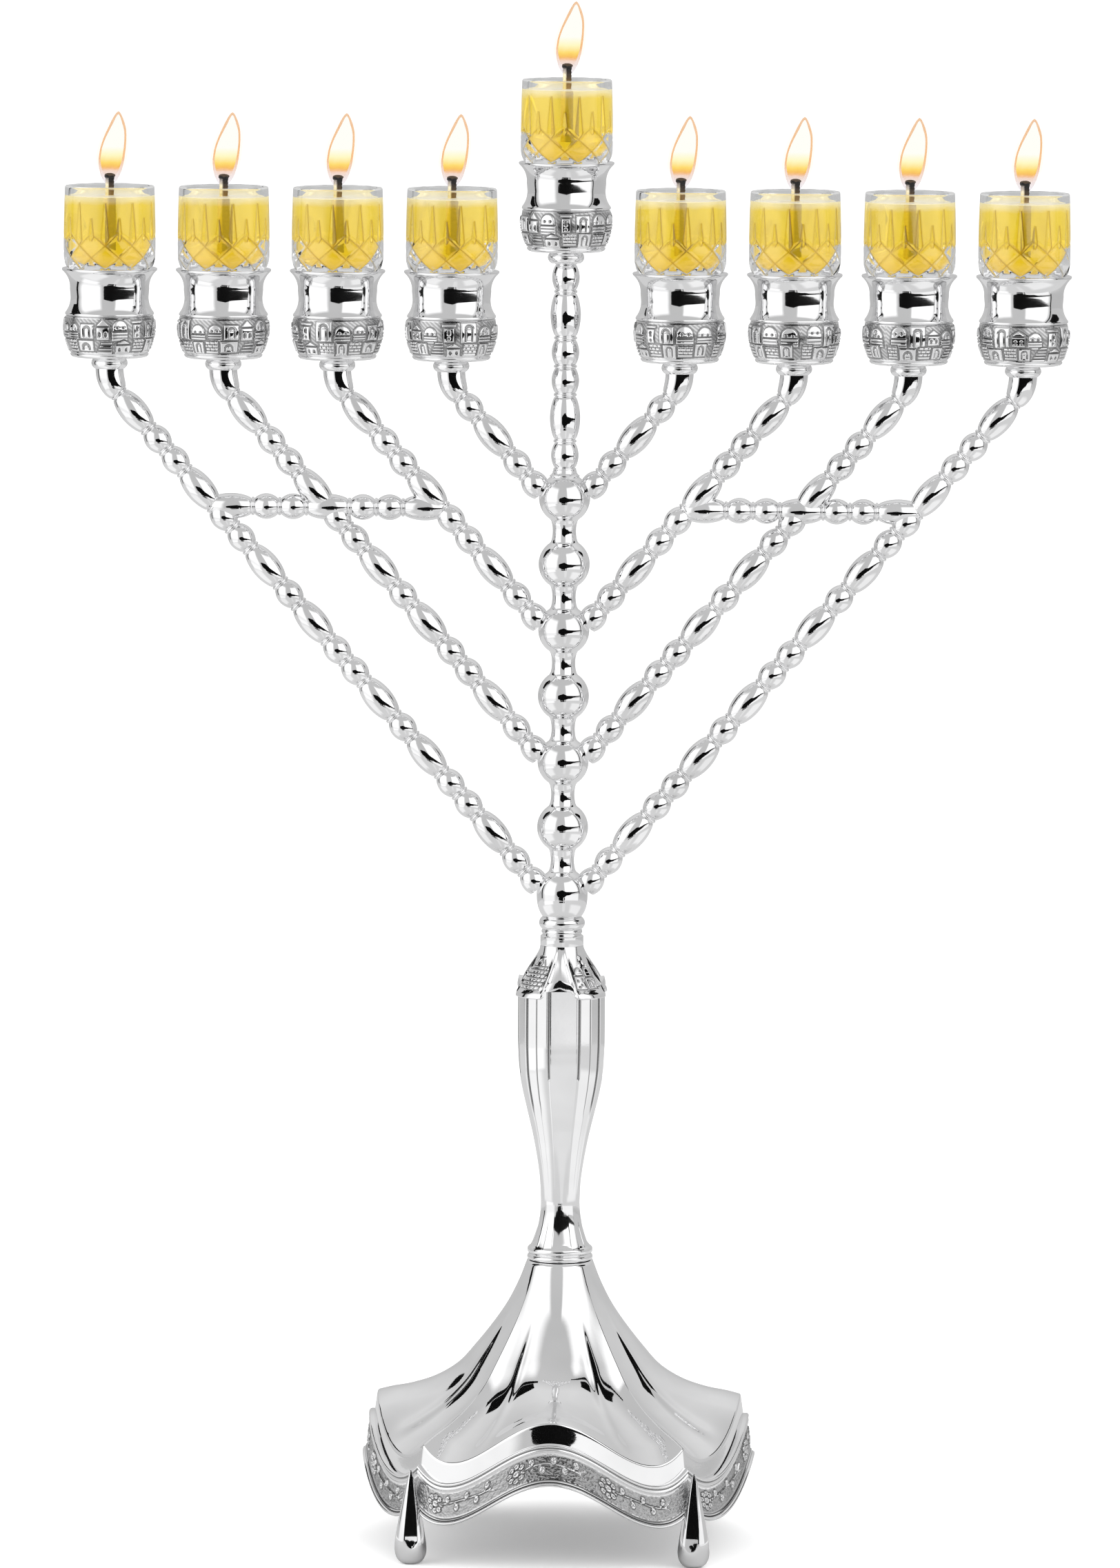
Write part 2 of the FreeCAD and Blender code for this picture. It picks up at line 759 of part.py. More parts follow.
def build_screws(stations):
    """One screw up through each seat: the head in the socket, the shank in the arm's end."""
    reach = dim.screw_reach
    head = reach + dim.socket_floor
    screw = turned("cup_screw", [
        (0, 0),
        (dim.screw_radius, 0),
        (dim.screw_radius, head),
        (dim.screw_head_radius, head),
        (dim.screw_head_radius, head + dim.screw_head_height),
        (0, head + dim.screw_head_height),
    ])
    doc.recompute()
    copies = []
    for x, seat in stations.values():
        copy = screw.Shape.copy()
        copy.translate(Vector(as_size(x).number, 0, seat.number - reach.number))
        copies.append(copy)
    screws = doc.addObject("Part::Feature", "cup_screws")
    screws.Shape = Part.makeCompound(copies)
    return node("cup_screws", screws)


def check_document():
    """Stop if any object failed to build, or any sub-part is empty or not valid."""
    for thing in doc.Objects:
        if "Invalid" in thing.State or "Error" in thing.State:
            raise RuntimeError(f"{thing.Name}: {thing.State}")
    for name, thing in nodes.items():
        if thing.Shape.isNull() or not thing.Shape.isValid() or not thing.Shape.Solids:
            raise RuntimeError(f"{name}: the shape is empty or not valid")


base_shell = build_base_shell()
build_feet(base_shell)
build_stem()
build_fixings()

arms = {}
for side in SIDES:
    for arm in ARM_BEADS:
        arms[side, arm] = build_arm(arm, side)
for side in SIDES:
    build_brace(side, arms)

stations = {"shamash": (0, dim.shamash_cup_seat)}
for side, sign in SIDES.items():
    for arm in ARM_BEADS:
        stations[f"{side}_{arm}"] = (sign * arm_station(arm), dim.arm_cup_seat)
for name, (x, seat) in stations.items():
    build_light(name, x, seat)
build_screws(stations)

doc.recompute()
check_document()

os.makedirs("parts", exist_ok=True)
for name, thing in nodes.items():
    thing.Shape.exportStep(f"parts/{name}.step")
    print(f"{name}: {len(thing.Shape.Solids)} solid(s), {thing.Shape.Volume / 1000:.2f} cm3")
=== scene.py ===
import math

import bmesh
import bpy
import numpy as np
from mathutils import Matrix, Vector


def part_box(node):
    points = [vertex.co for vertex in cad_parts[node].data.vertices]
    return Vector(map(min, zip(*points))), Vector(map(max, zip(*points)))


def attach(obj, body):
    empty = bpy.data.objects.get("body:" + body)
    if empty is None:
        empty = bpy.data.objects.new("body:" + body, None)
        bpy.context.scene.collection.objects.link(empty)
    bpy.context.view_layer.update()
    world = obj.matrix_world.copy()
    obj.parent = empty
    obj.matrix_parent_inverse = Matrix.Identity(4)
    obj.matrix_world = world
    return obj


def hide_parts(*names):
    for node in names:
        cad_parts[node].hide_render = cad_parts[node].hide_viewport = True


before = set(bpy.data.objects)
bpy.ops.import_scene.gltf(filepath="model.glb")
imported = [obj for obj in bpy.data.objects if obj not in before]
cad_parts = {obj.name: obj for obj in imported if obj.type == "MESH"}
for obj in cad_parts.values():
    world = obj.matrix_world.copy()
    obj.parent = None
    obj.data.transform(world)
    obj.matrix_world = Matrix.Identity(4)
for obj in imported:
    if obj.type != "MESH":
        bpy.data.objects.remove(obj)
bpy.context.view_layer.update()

# The looks of a nine-light oil menorah in mirror-polished silver plate: beaded arms, ball column,
# faceted baluster, waved dome with a flower band, and nine lit glass oil cups.
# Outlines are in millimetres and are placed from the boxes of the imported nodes.

MM = 0.001
LIGHTS = ["shamash"] + [f"{side}_{arm}" for side in ("left", "right") for arm in (1, 2, 3, 4)]
SIDES = {"left": -1, "right": 1}


def box(node):
    """A node's lowest and highest corners in millimetres."""
    low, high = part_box(node)
    return np.array(low) / MM, np.array(high) / MM


def middle(node):
    low, high = box(node)
    return (low + high) / 2


# ---------------------------------------------------------------- outlines

def smooth(edge0, edge1, value):
    """A soft step from 0 at edge0 to 1 at edge1."""
    t = np.clip((value - edge0) / (edge1 - edge0), 0, 1)
    return t * t * (3 - 2 * t)


def trace(outline, steps=12):
    """Points along straight and bowed runs; a third number says how far a run bows outwards."""
    path = [np.array(outline[0][:2], float)]
    for corner in outline[1:]:
        start = path[-1]
        end = np.array(corner[:2], float)
        bow = corner[2] if len(corner) > 2 else 0
        if bow:
            chord = end - start
            length = np.hypot(*chord)
            outward = np.array([chord[1], -chord[0]]) / length
            curve = (length ** 2 / 4 + bow ** 2) / (2 * abs(bow))
            half = math.asin(min(1, length / 2 / curve))
            for step in range(1, steps):
                turn = -half + 2 * half * step / steps
                along = curve * (math.sin(turn) + math.sin(half))
                rise = curve * (math.cos(turn) - math.cos(half)) * math.copysign(1, bow)
                path.append(start + chord / length * along + outward * rise)
        path.append(end)
    return np.array(path)


SHARP_TURN, CORNER_STEPS = 25, 4


def soften(path, size):
    """Rounds each sharp corner of a path."""
    rounded = [path[0]]
    for before, corner, after in zip(path, path[1:], path[2:]):
        arriving = corner - before
        leaving = after - corner
        into = np.hypot(*arriving)
        out = np.hypot(*leaving)
        turn = np.degrees(np.arccos(np.clip(arriving @ leaving / (into * out), -1, 1)))
        if turn < SHARP_TURN:
            rounded.append(corner)
            continue
        first = corner - arriving / into * min(size, into * 0.45)
        last = corner + leaving / out * min(size, out * 0.45)
        for t in np.arange(CORNER_STEPS + 1) / CORNER_STEPS:
            rounded.append((1 - t) ** 2 * first + 2 * t * (1 - t) * corner + t * t * last)
    rounded.append(path[-1])
    return np.array(rounded)


def through(points, count):
    """A smooth curve through points: count rows, spaced evenly along it."""
    points = np.array(points, float)
    padded = np.vstack([2 * points[0] - points[1], points, 2 * points[-1] - points[-2]])
    fine = []
    for a, b, c, d in zip(padded, padded[1:], padded[2:], padded[3:]):
        for t in np.linspace(0, 1, 12, endpoint=False):
            fine.append(0.5 * (2 * b + (c - a) * t + (2 * a - 5 * b + 4 * c - d) * t ** 2
                               + (3 * b - a - 3 * c + d) * t ** 3))
    fine.append(points[-1])
    fine = np.array(fine)
    far = np.concatenate([[0], np.cumsum(np.linalg.norm(np.diff(fine, axis=0), axis=1))])
    even = np.linspace(0, far[-1], count)
    return np.stack([np.interp(even, far, fine[:, k]) for k in range(fine.shape[1])], axis=1)


# ---------------------------------------------------------------- meshes

def ring_faces(rows, around, start=0):
    """Quads between neighbouring rings of points, facing outwards as the rings rise."""
    ring = np.arange(around)
    after = (ring + 1) % around
    quads = []
    for row in range(rows - 1):
        low = start + row * around
        high = low + around
        quads.append(np.stack([low + ring, low + after, high + after, high + ring], axis=1))
    return np.concatenate(quads).tolist()


def make_mesh(name, points, faces, sharp=38, painted_shade=None, face_slots=None):
    mesh = bpy.data.meshes.new(name)
    mesh.from_pydata((np.asarray(points) * MM).tolist(), [], faces)
    mesh.shade_smooth()
    mesh.set_sharp_from_angle(angle=math.radians(sharp))
    if painted_shade is not None:
        # this attribute holds painted shade: how far each point's colour is darkened
        layer = mesh.attributes.new("painted_shade", "FLOAT", "POINT")
        layer.data.foreach_set("value", np.asarray(painted_shade, dtype=np.float32))
    if face_slots is not None:
        mesh.polygons.foreach_set("material_index", np.asarray(face_slots, dtype=np.int32))
    mesh.update()
    return mesh


def ringed(name, rings, cap_low=True, cap_high=True, sharp=38, painted_shade=None):
    """A closed skin over rings of points, with a fan over each end."""
    rings = np.asarray(rings, float)
    rows, around, _ = rings.shape
    points = rings.reshape(-1, 3)
    faces = ring_faces(rows, around)
    # each point's painted shade, with none at the hubs of the end fans
    deep = None if painted_shade is None else np.asarray(painted_shade, float).reshape(-1)
    ends = [(cap_low, 0, False), (cap_high, (rows - 1) * around, True)]
    for wanted, first, upwards in ends:
        if not wanted:
            continue
        hub = len(points)
        points = np.vstack([points, points[first:first + around].mean(axis=0)])
        if deep is not None:
            deep = np.append(deep, 0)
        for spoke in range(around):
            a = first + spoke
            b = first + (spoke + 1) % around
            faces.append([hub, a, b] if upwards else [hub, b, a])
    return make_mesh(name, points, faces, sharp, deep)


def full_turn(around):
    """Evenly spaced angles round a circle, in radians."""
    return np.arange(around) * 2 * np.pi / around


def rings_about(radius, angle, height):
    """Rings of points about the Z axis: a row for each ring and a column for each angle."""
    x = radius * np.cos(angle)
    return np.stack([x, radius * np.sin(angle), np.broadcast_to(height, x.shape)], axis=2)


def lathe_rings(path, around):
    """Rings of points of an outline turned about the Z axis."""
    path = np.asarray(path, float)
    return rings_about(path[:, :1], full_turn(around), path[:, 1:2])


def put(name, mesh, material, body, nodes=(), at=(0, 0, 0), turn=0.0):
    """Adds a piece to the scene, riding on a body and standing for its nodes."""
    piece = bpy.data.objects.new(name, mesh)
    bpy.context.scene.collection.objects.link(piece)
    if not mesh.materials:
        mesh.materials.append(material)
    piece.location = Vector(at) * MM
    piece.rotation_euler = (0, 0, math.radians(turn))
    bpy.context.view_layer.update()
    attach(piece, body)
    if nodes:
        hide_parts(*nodes)
    return piece


def put_silver(name, mesh, node, material=None):
    """Adds a piece of the silver frame that stands for one node."""
    put(name, mesh, material or SILVER, "frame", [node])


# ---------------------------------------------------------------- materials

def new_material(name):
    material = bpy.data.materials.new(name)
    material.use_nodes = True
    tree = material.node_tree
    tree.nodes.clear()
    return material, tree


def add(tree, kind, inputs=None, **settings):
    made = tree.nodes.new("ShaderNode" + kind)
    for key, value in settings.items():
        setattr(made, key, value)
    for socket, value in (inputs or {}).items():
        if isinstance(value, bpy.types.NodeSocket):
            tree.links.new(value, made.inputs[socket])
        else:
            made.inputs[socket].default_value = value
    return made


def ramp(tree, factor, stops):
    """A colour ramp: stops are (position, colour or grey)."""
    made = add(tree, "ValToRGB", {"Fac": factor})
    band = made.color_ramp
    while len(band.elements) < len(stops):
        band.elements.new(0.5)
    for element, (position, colour) in zip(band.elements, stops):
        element.position = position
        rgb = colour if isinstance(colour, tuple) else (colour,) * 3
        element.color = (*rgb, 1)
    return made.outputs["Color"]


def span(tree, value, low, high, to_low, to_high):
    """A value carried from one range to another."""
    return add(tree, "MapRange", {"Value": value, "From Min": low, "From Max": high,
                                  "To Min": to_low, "To Max": to_high}).outputs["Result"]


def on_piece(tree):
    """Each point's place on its own piece."""
    return add(tree, "TexCoord").outputs["Object"]


def part_of(tree, vector, axis):
    return add(tree, "SeparateXYZ", {"Vector": vector}).outputs[axis]


def noise(tree, place, scale, detail=2.0, roughness=0.5):
    return add(tree, "TexNoise", {"Vector": place, "Scale": scale, "Detail": detail,
                                  "Roughness": roughness}).outputs["Fac"]


def calculate(tree, operation, *values):
    return add(tree, "Math", dict(enumerate(values)), operation=operation).outputs["Value"]


def blend(tree, share, first, second, kind="MIX"):
    return add(tree, "MixRGB", {"Fac": share, "Color1": first, "Color2": second},
               blend_type=kind).outputs["Color"]


def attribute(tree, name):
    """A value painted on the points of a mesh."""
    return add(tree, "Attribute", attribute_name=name).outputs["Fac"]


def surfaced(material, shader):
    """Gives a material its surface and hands it back."""
    output = add(material.node_tree, "OutputMaterial")
    material.node_tree.links.new(shader.outputs[0], output.inputs["Surface"])
    return material


def principled(material, inputs, relief=None):
    """Ends a material with its shader; relief is a bump's height, strength and depth in metres."""
    tree = material.node_tree
    if relief:
        bump = add(tree, "Bump", dict(zip(("Height", "Strength", "Distance"), relief)))
        inputs = {**inputs, "Normal": bump.outputs["Normal"]}
    return surfaced(material, add(tree, "BsdfPrincipled", inputs))


SILVER_TINT = (0.9, 0.9, 0.905)


def silver(name, relief=False):
    """Mirror silver plate: faint tarnish clouds, fine polishing haze and, on relief pieces, painted
    shade that darkens the recesses.
    """
    material, tree = new_material(name)
    place = on_piece(tree)
    clouds = noise(tree, place, 38.0, 3.0, 0.55)
    haze = noise(tree, place, 900.0)
    stretched = add(tree, "Mapping", {"Vector": place, "Scale": (1.0, 1.0, 14.0)})
    wipes = noise(tree, stretched.outputs["Vector"], 260.0, 4.0)
    clean = tuple(min(1.0, part * 1.03) for part in SILVER_TINT)
    dull = tuple(part * 0.94 for part in SILVER_TINT)
    colour = ramp(tree, clouds, [(0.35, dull), (0.62, clean)])
    rough = span(tree, wipes, 0.3, 0.75, 0.018, 0.06)
    if relief:
        # painted shade: recesses, outlines and cuts of the relief are darkened in the colour,
        # broken up by fine stipple noise
        painted_shade = attribute(tree, "painted_shade")
        speckled_shade = blend(tree, 0.3, painted_shade, noise(tree, place, 2600.0, 3.0), "MULTIPLY")
        shade = ramp(tree, speckled_shade, [(0.04, 1.0), (0.35, 0.56), (0.85, 0.12)])
        colour = blend(tree, 1.0, colour, shade, "MULTIPLY")
        rough = span(tree, painted_shade, 0.05, 0.8, 0.07, 0.38)
    return principled(material, {"Base Color": colour, "Roughness": rough, "Metallic": 1.0},
                      (haze, 0.012, 0.0002))


def brushed_steel(name):
    """Turned steel of the hidden fixings, with fine rings of tool marks."""
    material, tree = new_material(name)
    place = on_piece(tree)
    marks = add(tree, "TexWave", {"Vector": place, "Scale": 900.0, "Distortion": 1.5,
                                  "Detail": 3.0}, bands_direction="Z").outputs["Fac"]
    grime = noise(tree, place, 300.0, 4.0)
    colour = ramp(tree, grime, [(0.3, (0.42, 0.42, 0.43)), (0.7, (0.6, 0.6, 0.61))])
    rough = span(tree, grime, 0.3, 0.7, 0.3, 0.45)
    return principled(material, {"Base Color": colour, "Roughness": rough, "Metallic": 1.0},
                      (marks, 0.15, 0.0001))


def cut_glass(name):
    """Clear glass with a trace of smears, and painted dark amber shade lines along the edges of its
    cuts.
    """
    material, tree = new_material(name)
    smears = noise(tree, on_piece(tree), 160.0, 4.0)
    rough = span(tree, smears, 0.4, 0.8, 0.0, 0.03)
    clear = ramp(tree, smears, [(0.3, (0.97, 0.985, 0.98)), (0.7, (1.0, 1.0, 1.0))])
    # painted shade: dark amber lines along the cut edges, standing in for their refraction
    shade = ramp(tree, attribute(tree, "painted_shade"),
                 [(0.0, 1.0), (0.4, (0.84, 0.78, 0.62)), (1.0, (0.32, 0.21, 0.06))])
    colour = blend(tree, 1.0, clear, shade, "MULTIPLY")
    return principled(material, {"Base Color": colour, "Roughness": rough, "IOR": 1.48,
                                 "Transmission Weight": 1.0})


def golden_oil(name):
    """Lamp oil: clear and golden, deeper in colour towards the bottom of the glass, with a faint
    painted glow.
    """
    material, tree = new_material(name)
    place = on_piece(tree)
    level = span(tree, part_of(tree, place, "Z"), 0.032, 0.0555, 0.0, 1.0)
    wisps = noise(tree, place, 120.0)
    colour = ramp(tree, calculate(tree, "MULTIPLY_ADD", wisps, 0.12, level),
                  [(0.1, (0.90, 0.60, 0.02)), (0.4, (0.93, 0.67, 0.03)),
                   (0.93, (0.94, 0.70, 0.05)), (1.0, (1.0, 0.88, 0.5))])
    # the emission is a painted glow, so the oil looks lit through
    return principled(material, {"Base Color": colour, "Roughness": 0.02, "IOR": 1.46,
                                 "Transmission Weight": 0.72, "Emission Color": colour,
                                 "Emission Strength": 0.2})


def wick_braid(name):
    """Oil-wet braid: painted lit and pale on its left, painted in shade and dark on its right, and
    charred black at the tip.
    """
    material, tree = new_material(name)
    place = on_piece(tree)
    fibres = noise(tree, place, 2400.0, 4.0)
    wobble = calculate(tree, "MULTIPLY_ADD", fibres, 0.002, part_of(tree, place, "Z"))
    level = span(tree, wobble, 0.0385, 0.0645, 0.0, 1.0)
    shaded_side = ramp(tree, level, [(0.0, (0.16, 0.05, 0.0)), (0.56, (0.2, 0.07, 0.0)),
                                (0.66, (0.33, 0.18, 0.02)), (0.84, (0.05, 0.03, 0.015)),
                                (0.93, (0.01, 0.01, 0.01))])
    lit_side = ramp(tree, level, [(0.0, (0.82, 0.62, 0.12)), (0.66, (0.90, 0.72, 0.2)),
                             (0.86, (0.85, 0.78, 0.6)), (0.92, (0.5, 0.48, 0.46)),
                             (0.95, (0.01, 0.01, 0.01))])
    # painted light and shade: the braid's left side gets the lit colours and its right side the
    # shaded ones, split along X with a ragged edge
    light_split = calculate(tree, "MULTIPLY_ADD", fibres, 0.0005, part_of(tree, place, "X"))
    colour = blend(tree, span(tree, light_split, -0.0003, 0.0002, 0.0, 1.0), lit_side, shaded_side)
    streaked = blend(tree, 0.5, colour, fibres, "OVERLAY")
    return principled(material, {"Base Color": streaked, "Roughness": 0.7},
                      (fibres, 0.6, 0.0002))


FLAME_BOTTOM, FLAME_TOP = 60.2, 83.0


def flame_shell(name, stops, cover, bottom=FLAME_BOTTOM, top=FLAME_TOP, far_side=False):
    """One glowing shell of a flame: colour and cover by height.  A far-side shell faces inwards."""
    material, tree = new_material(name)
    material.use_backface_culling = far_side
    place = on_piece(tree)
    wobble = calculate(tree, "MULTIPLY_ADD", noise(tree, place, 300.0), 0.001,
                       part_of(tree, place, "Z"))
    level = span(tree, wobble, bottom * MM, top * MM, 0.0, 1.0)
    glow = add(tree, "Emission", {"Color": ramp(tree, level, stops), "Strength": 1.0})
    clear = add(tree, "BsdfTransparent")
    share = ramp(tree, level, cover)
    if far_side:
        back = add(tree, "NewGeometry").outputs["Backfacing"]
        share = calculate(tree, "MULTIPLY", calculate(tree, "SUBTRACT", 1.0, back), share)
    return surfaced(material, add(tree, "MixShader", {0: share, 1: clear.outputs["BSDF"],
                                                      2: glow.outputs["Emission"]}))


SILVER = silver("silver_plate")
RELIEF = silver("silver_relief", relief=True)
RELIEF_SOFT = silver("silver_grooved", relief=True)
STEEL = brushed_steel("turned_steel")
GLASS = cut_glass("clear_cut_glass")
OIL = golden_oil("golden_lamp_oil")
WICK = wick_braid("braided_wick")

for hidden in ("tie_rod", "base_nut", "base_washer", "cup_screws"):
    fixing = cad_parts[hidden]
    fixing.data.materials.clear()
    fixing.data.materials.append(STEEL)


# ---------------------------------------------------------------- bead strings

ROUND_BEAD, OVAL_BEAD = "r", "O"
ARM_BEADS = {1: "OrrOrrOrOrrOrOrrOrr", 2: "OrrOrrOrOrrOrr", 3: "OrrOrrOrr", 4: "rOrr"}
ARM_SIZES = {ROUND_BEAD: (8.8, 4.15), OVAL_BEAD: (14.6, 4.4), "ring": 3.05, "neck": 2.55}
BRACE_SIZES = {ROUND_BEAD: (8.5, 4.1), OVAL_BEAD: (13.7, 4.1), "ring": 2.95, "neck": 2.45}
STEM_SIZES = {ROUND_BEAD: (9.0, 4.35), OVAL_BEAD: (14.7, 4.8), "ring": 3.65, "neck": 3.15}
RING_HALF = 0.55
BALL, BALL_PITCH, FIRST_BALL = 8.1, 21.0, 7.5
ELBOW = 12.1


def bead_run(beads, sizes):
    """Distance along and radius of each ring of points down a string of beads."""
    far, radius = [], []
    start = 0.0
    for bead in beads:
        length, crown = sizes[bead]
        for share in np.linspace(-1, 1, 7):
            far.append(start + share * RING_HALF)
            radius.append(sizes["neck"] + (sizes["ring"] - sizes["neck"])
                          * math.sqrt(max(0.0, 1 - share * share)))
        body = np.linspace(0, 1, 19)[1:-1]
        body = 0.5 - 0.5 * np.cos(np.pi * (0.1 + 0.8 * body)) / math.cos(0.1 * math.pi)
        for share in body:
            far.append(start + RING_HALF + (length - 2 * RING_HALF) * share)
            swell = math.sin(math.pi * share) ** (0.72 if bead == ROUND_BEAD else 0.62)
            radius.append(sizes["neck"] + (crown - sizes["neck"]) * swell)
        start += length
    far.append(start - RING_HALF)
    radius.append(sizes["neck"])
    far.append(start)
    radius.append(sizes["ring"])
    far, radius = np.array(far), np.array(radius)
    keep = far >= 0
    return far[keep], radius[keep], start


def swept(name, centres, tangents, radii, across, around=28):
    """A round tube of changing radius along a path that lies in one plane."""
    across = np.array(across, float)
    angle = full_turn(around)
    rings = []
    for centre, tangent, radius in zip(centres, tangents, radii):
        side = np.cross(across, tangent)
        side /= np.linalg.norm(side)
        rings.append(centre + radius * (np.outer(np.cos(angle), side)
                                        + np.outer(np.sin(angle), across)))
    return ringed(name, rings, sharp=60)


def build_arms():
    lean = math.atan(36.15 / 42.0)
    for side, sign in SIDES.items():
        for arm, beads in ARM_BEADS.items():
            cup = middle(f"cup_{side}_{arm}")
            seat = box(f"cup_{side}_{arm}")[0][2]
            start = np.array([cup[0], cup[1], seat])
            centres, tangents, radii = [], [], []
            for share in np.linspace(0, 1, 17):
                turn = lean * share
                centres.append(start + [-sign * ELBOW * (1 - math.cos(turn)), 0,
                                        -ELBOW * math.sin(turn)])
                tangents.append([-sign * math.sin(turn), 0, -math.cos(turn)])
                radii.append(2.75 + 1.7 * (1 - share ** 2.4) ** 0.6)
            end = centres[-1]
            along = np.array(tangents[-1])
            far, radius, _ = bead_run(beads, ARM_SIZES)
            reach = (end[2] - ball_height(2 * arm - 1)) / math.cos(lean)
            for distance, size in zip(far, radius):
                if distance > reach - 2.0:
                    break
                centres.append(end + along * (distance + 0.05))
                tangents.append(along)
                radii.append(size)
            mesh = swept(f"arm_{side}_{arm}_beads", centres, tangents, radii, (0, 1, 0))
            put_silver(f"beaded_arm_{side}_{arm}", mesh, f"arm_{side}_{arm}")


def ball_height(number):
    """The height of a ball's centre, counted from the bottom of the column as 1."""
    return box("column")[0][2] + FIRST_BALL + BALL_PITCH * (number - 1)


def build_braces():
    far, radius, length = bead_run("OrrOrrO", BRACE_SIZES)
    for side in SIDES:
        low, high = box(f"brace_{side}")
        centre = (low + high) / 2
        start = np.array([centre[0] - length / 2, centre[1], centre[2]])
        centres = [start + [distance, 0, 0] for distance in far]
        tangents = [np.array([1.0, 0, 0])] * len(centres)
        mesh = swept(f"brace_{side}_beads", centres, tangents, radius, (0, 1, 0))
        put_silver(f"beaded_brace_{side}", mesh, f"brace_{side}")


def build_stem():
    low, high = box("shamash_stem")
    far, radius, length = bead_run("rOrrOr", STEM_SIZES)
    path = np.stack([radius, low[2] + far * (high[2] - low[2]) / length], axis=1)
    mesh = ringed("shamash_stem_beads", lathe_rings(path, 48), sharp=60)
    put_silver("beaded_centre_stem", mesh, "shamash_stem")


def build_column():
    """Seven balls on turned necks, the lowest drawn down like an egg to its collar."""
    top = box("column")[1][2]
    neck = [(4.42, 0.22), (4.22, 0.55), (4.05, 0.98), (3.92, 1.5), (3.81, 2.1), (3.73, 2.8)]
    path = []
    first = ball_height(1)
    for share in np.linspace(-1, 0, 14)[:-1]:
        drop = FIRST_BALL * -share
        path.append((BALL * (1 - (drop / 10.5) ** 2.6) ** 0.5, first - drop))
    highest = math.acos(4.6 / BALL)
    for number in range(7):
        centre = ball_height(number + 1)
        lowest = -highest if number else 0.0
        for turn in np.linspace(lowest, highest, 26 if number else 14):
            path.append((BALL * math.cos(turn), centre + BALL * math.sin(turn)))
        if number == 6:
            break
        start = centre + BALL * math.sin(highest)
        end = centre + BALL_PITCH - BALL * math.sin(highest)
        path.extend((radius, start + up) for radius, up in neck)
        path.append((3.68, start + (end - start) / 2))
        path.extend((radius, end - up) for radius, up in reversed(neck))
    last = path[-1][1]
    path += [(4.7, last + 0.25), (4.7, last + 0.55), (4.3, last + 0.8), (3.9, last + 1.3),
             (3.75, top - 0.4), (3.5, top)]
    mesh = ringed("column_balls", lathe_rings(path, 72), sharp=50)
    put_silver("ball_column", mesh, "column")


# ---------------------------------------------------------------- stem between base and column

COLLARS = {     # which end of the box an outline is measured from, and the outline
    "upper": (0, [(5.5, 0), (6.75, 0), (6.85, 0.3), (6.85, 2.9), (6.6, 3.2), (6.2, 3.3), (6.2, 3.9),
                  (6.45, 4.1), (6.5, 4.5), (6.4, 4.9), (6.2, 5.1), (6.35, 5.3), (6.35, 9.0, 0.95),
                  (6.1, 9.1), (6.1, 9.2)]),
    "lower": (1, [(8.6, -6.5), (8.6, -2.6), (9.6, -2.5), (9.75, -2.35, 0.0), (9.75, -0.35, 0.75),
                  (9.6, 0.0), (8.6, 0.0)]),
}


def build_collars():
    for place, (end, outline) in COLLARS.items():
        path = trace(outline, 14)
        path[:, 1] += box(f"{place}_collar")[end][2]
        mesh = ringed(f"{place}_collar_turned", lathe_rings(path, 72))
        put_silver(f"{place}_collar_ring", mesh, f"{place}_collar")


BALUSTER_TURN = 6.0
WIDE_PANEL, NARROW_PANEL = 20.0, 8.0        # half widths in degrees
LINE_HALF = 0.26


def build_baluster():
    """Wide and narrow panels with ribs between grooves painted dark as shade, all dying at the
    waist.
    """
    base = box("baluster")[0][2]
    outline = [(10.1, 0.0), (10.35, 0.35), (10.35, 1.4), (10.05, 1.9), (9.6, 2.3), (8.5, 5.0),
               (7.3, 8.6), (6.5, 12.2), (6.22, 15.0), (6.25, 18.0), (6.7, 22.8), (7.7, 29.5),
               (9.2, 37.2), (11.25, 45.5), (12.95, 52.5), (14.0, 58.5), (14.4, 64.0), (14.6, 70.0),
               (14.6, 85.4)]
    path = through(outline, 170)
    around = 540
    angle = full_turn(around)
    height = path[:, 1:2]
    radius = path[:, :1]
    turn = (np.degrees(angle) + 90 - BALUSTER_TURN + 45) % 90 - 45
    from_wide, from_narrow = np.abs(turn), 45 - np.abs(turn)
    flatness = np.interp(height, [0, 2.0, 3.5, 8, 13, 18, 24, 40, 82],
                         [0.0, 0.0, 0.7, 0.5, 0.0, 0.0, 0.5, 1.0, 1.0])
    flats, lines = [], []
    for away, half in ((from_wide, WIDE_PANEL), (from_narrow, NARROW_PANEL)):
        flat = 1 / np.cos(np.radians(np.minimum(away, half)))
        flats.append(flat / flat.max())
        lines.append(np.exp(-((away - half) * np.radians(1) * 14.0 / LINE_HALF) ** 2)[None, :])
    sink = 1 - 0.022 * np.clip(smooth(WIDE_PANEL + 0.5, WIDE_PANEL - 1.5, from_wide)
                               + smooth(NARROW_PANEL + 0.5, NARROW_PANEL - 1.5, from_narrow), 0, 1)
    panel = (np.where(from_wide < 28.5, *flats) * sink)[None, :]
    spread = radius * (1 + flatness * (panel - 1))
    groove = lines[0] * smooth(57.0, 57.8, height) + lines[1] * smooth(43.0, 50.0, height)
    spread = spread - 0.36 * groove
    rings = rings_about(spread, angle, height + base)
    # the grooves carry painted shade
    mesh = ringed("baluster_panels", rings, sharp=70, painted_shade=groove)
    put_silver("faceted_baluster", mesh, "baluster", RELIEF_SOFT)



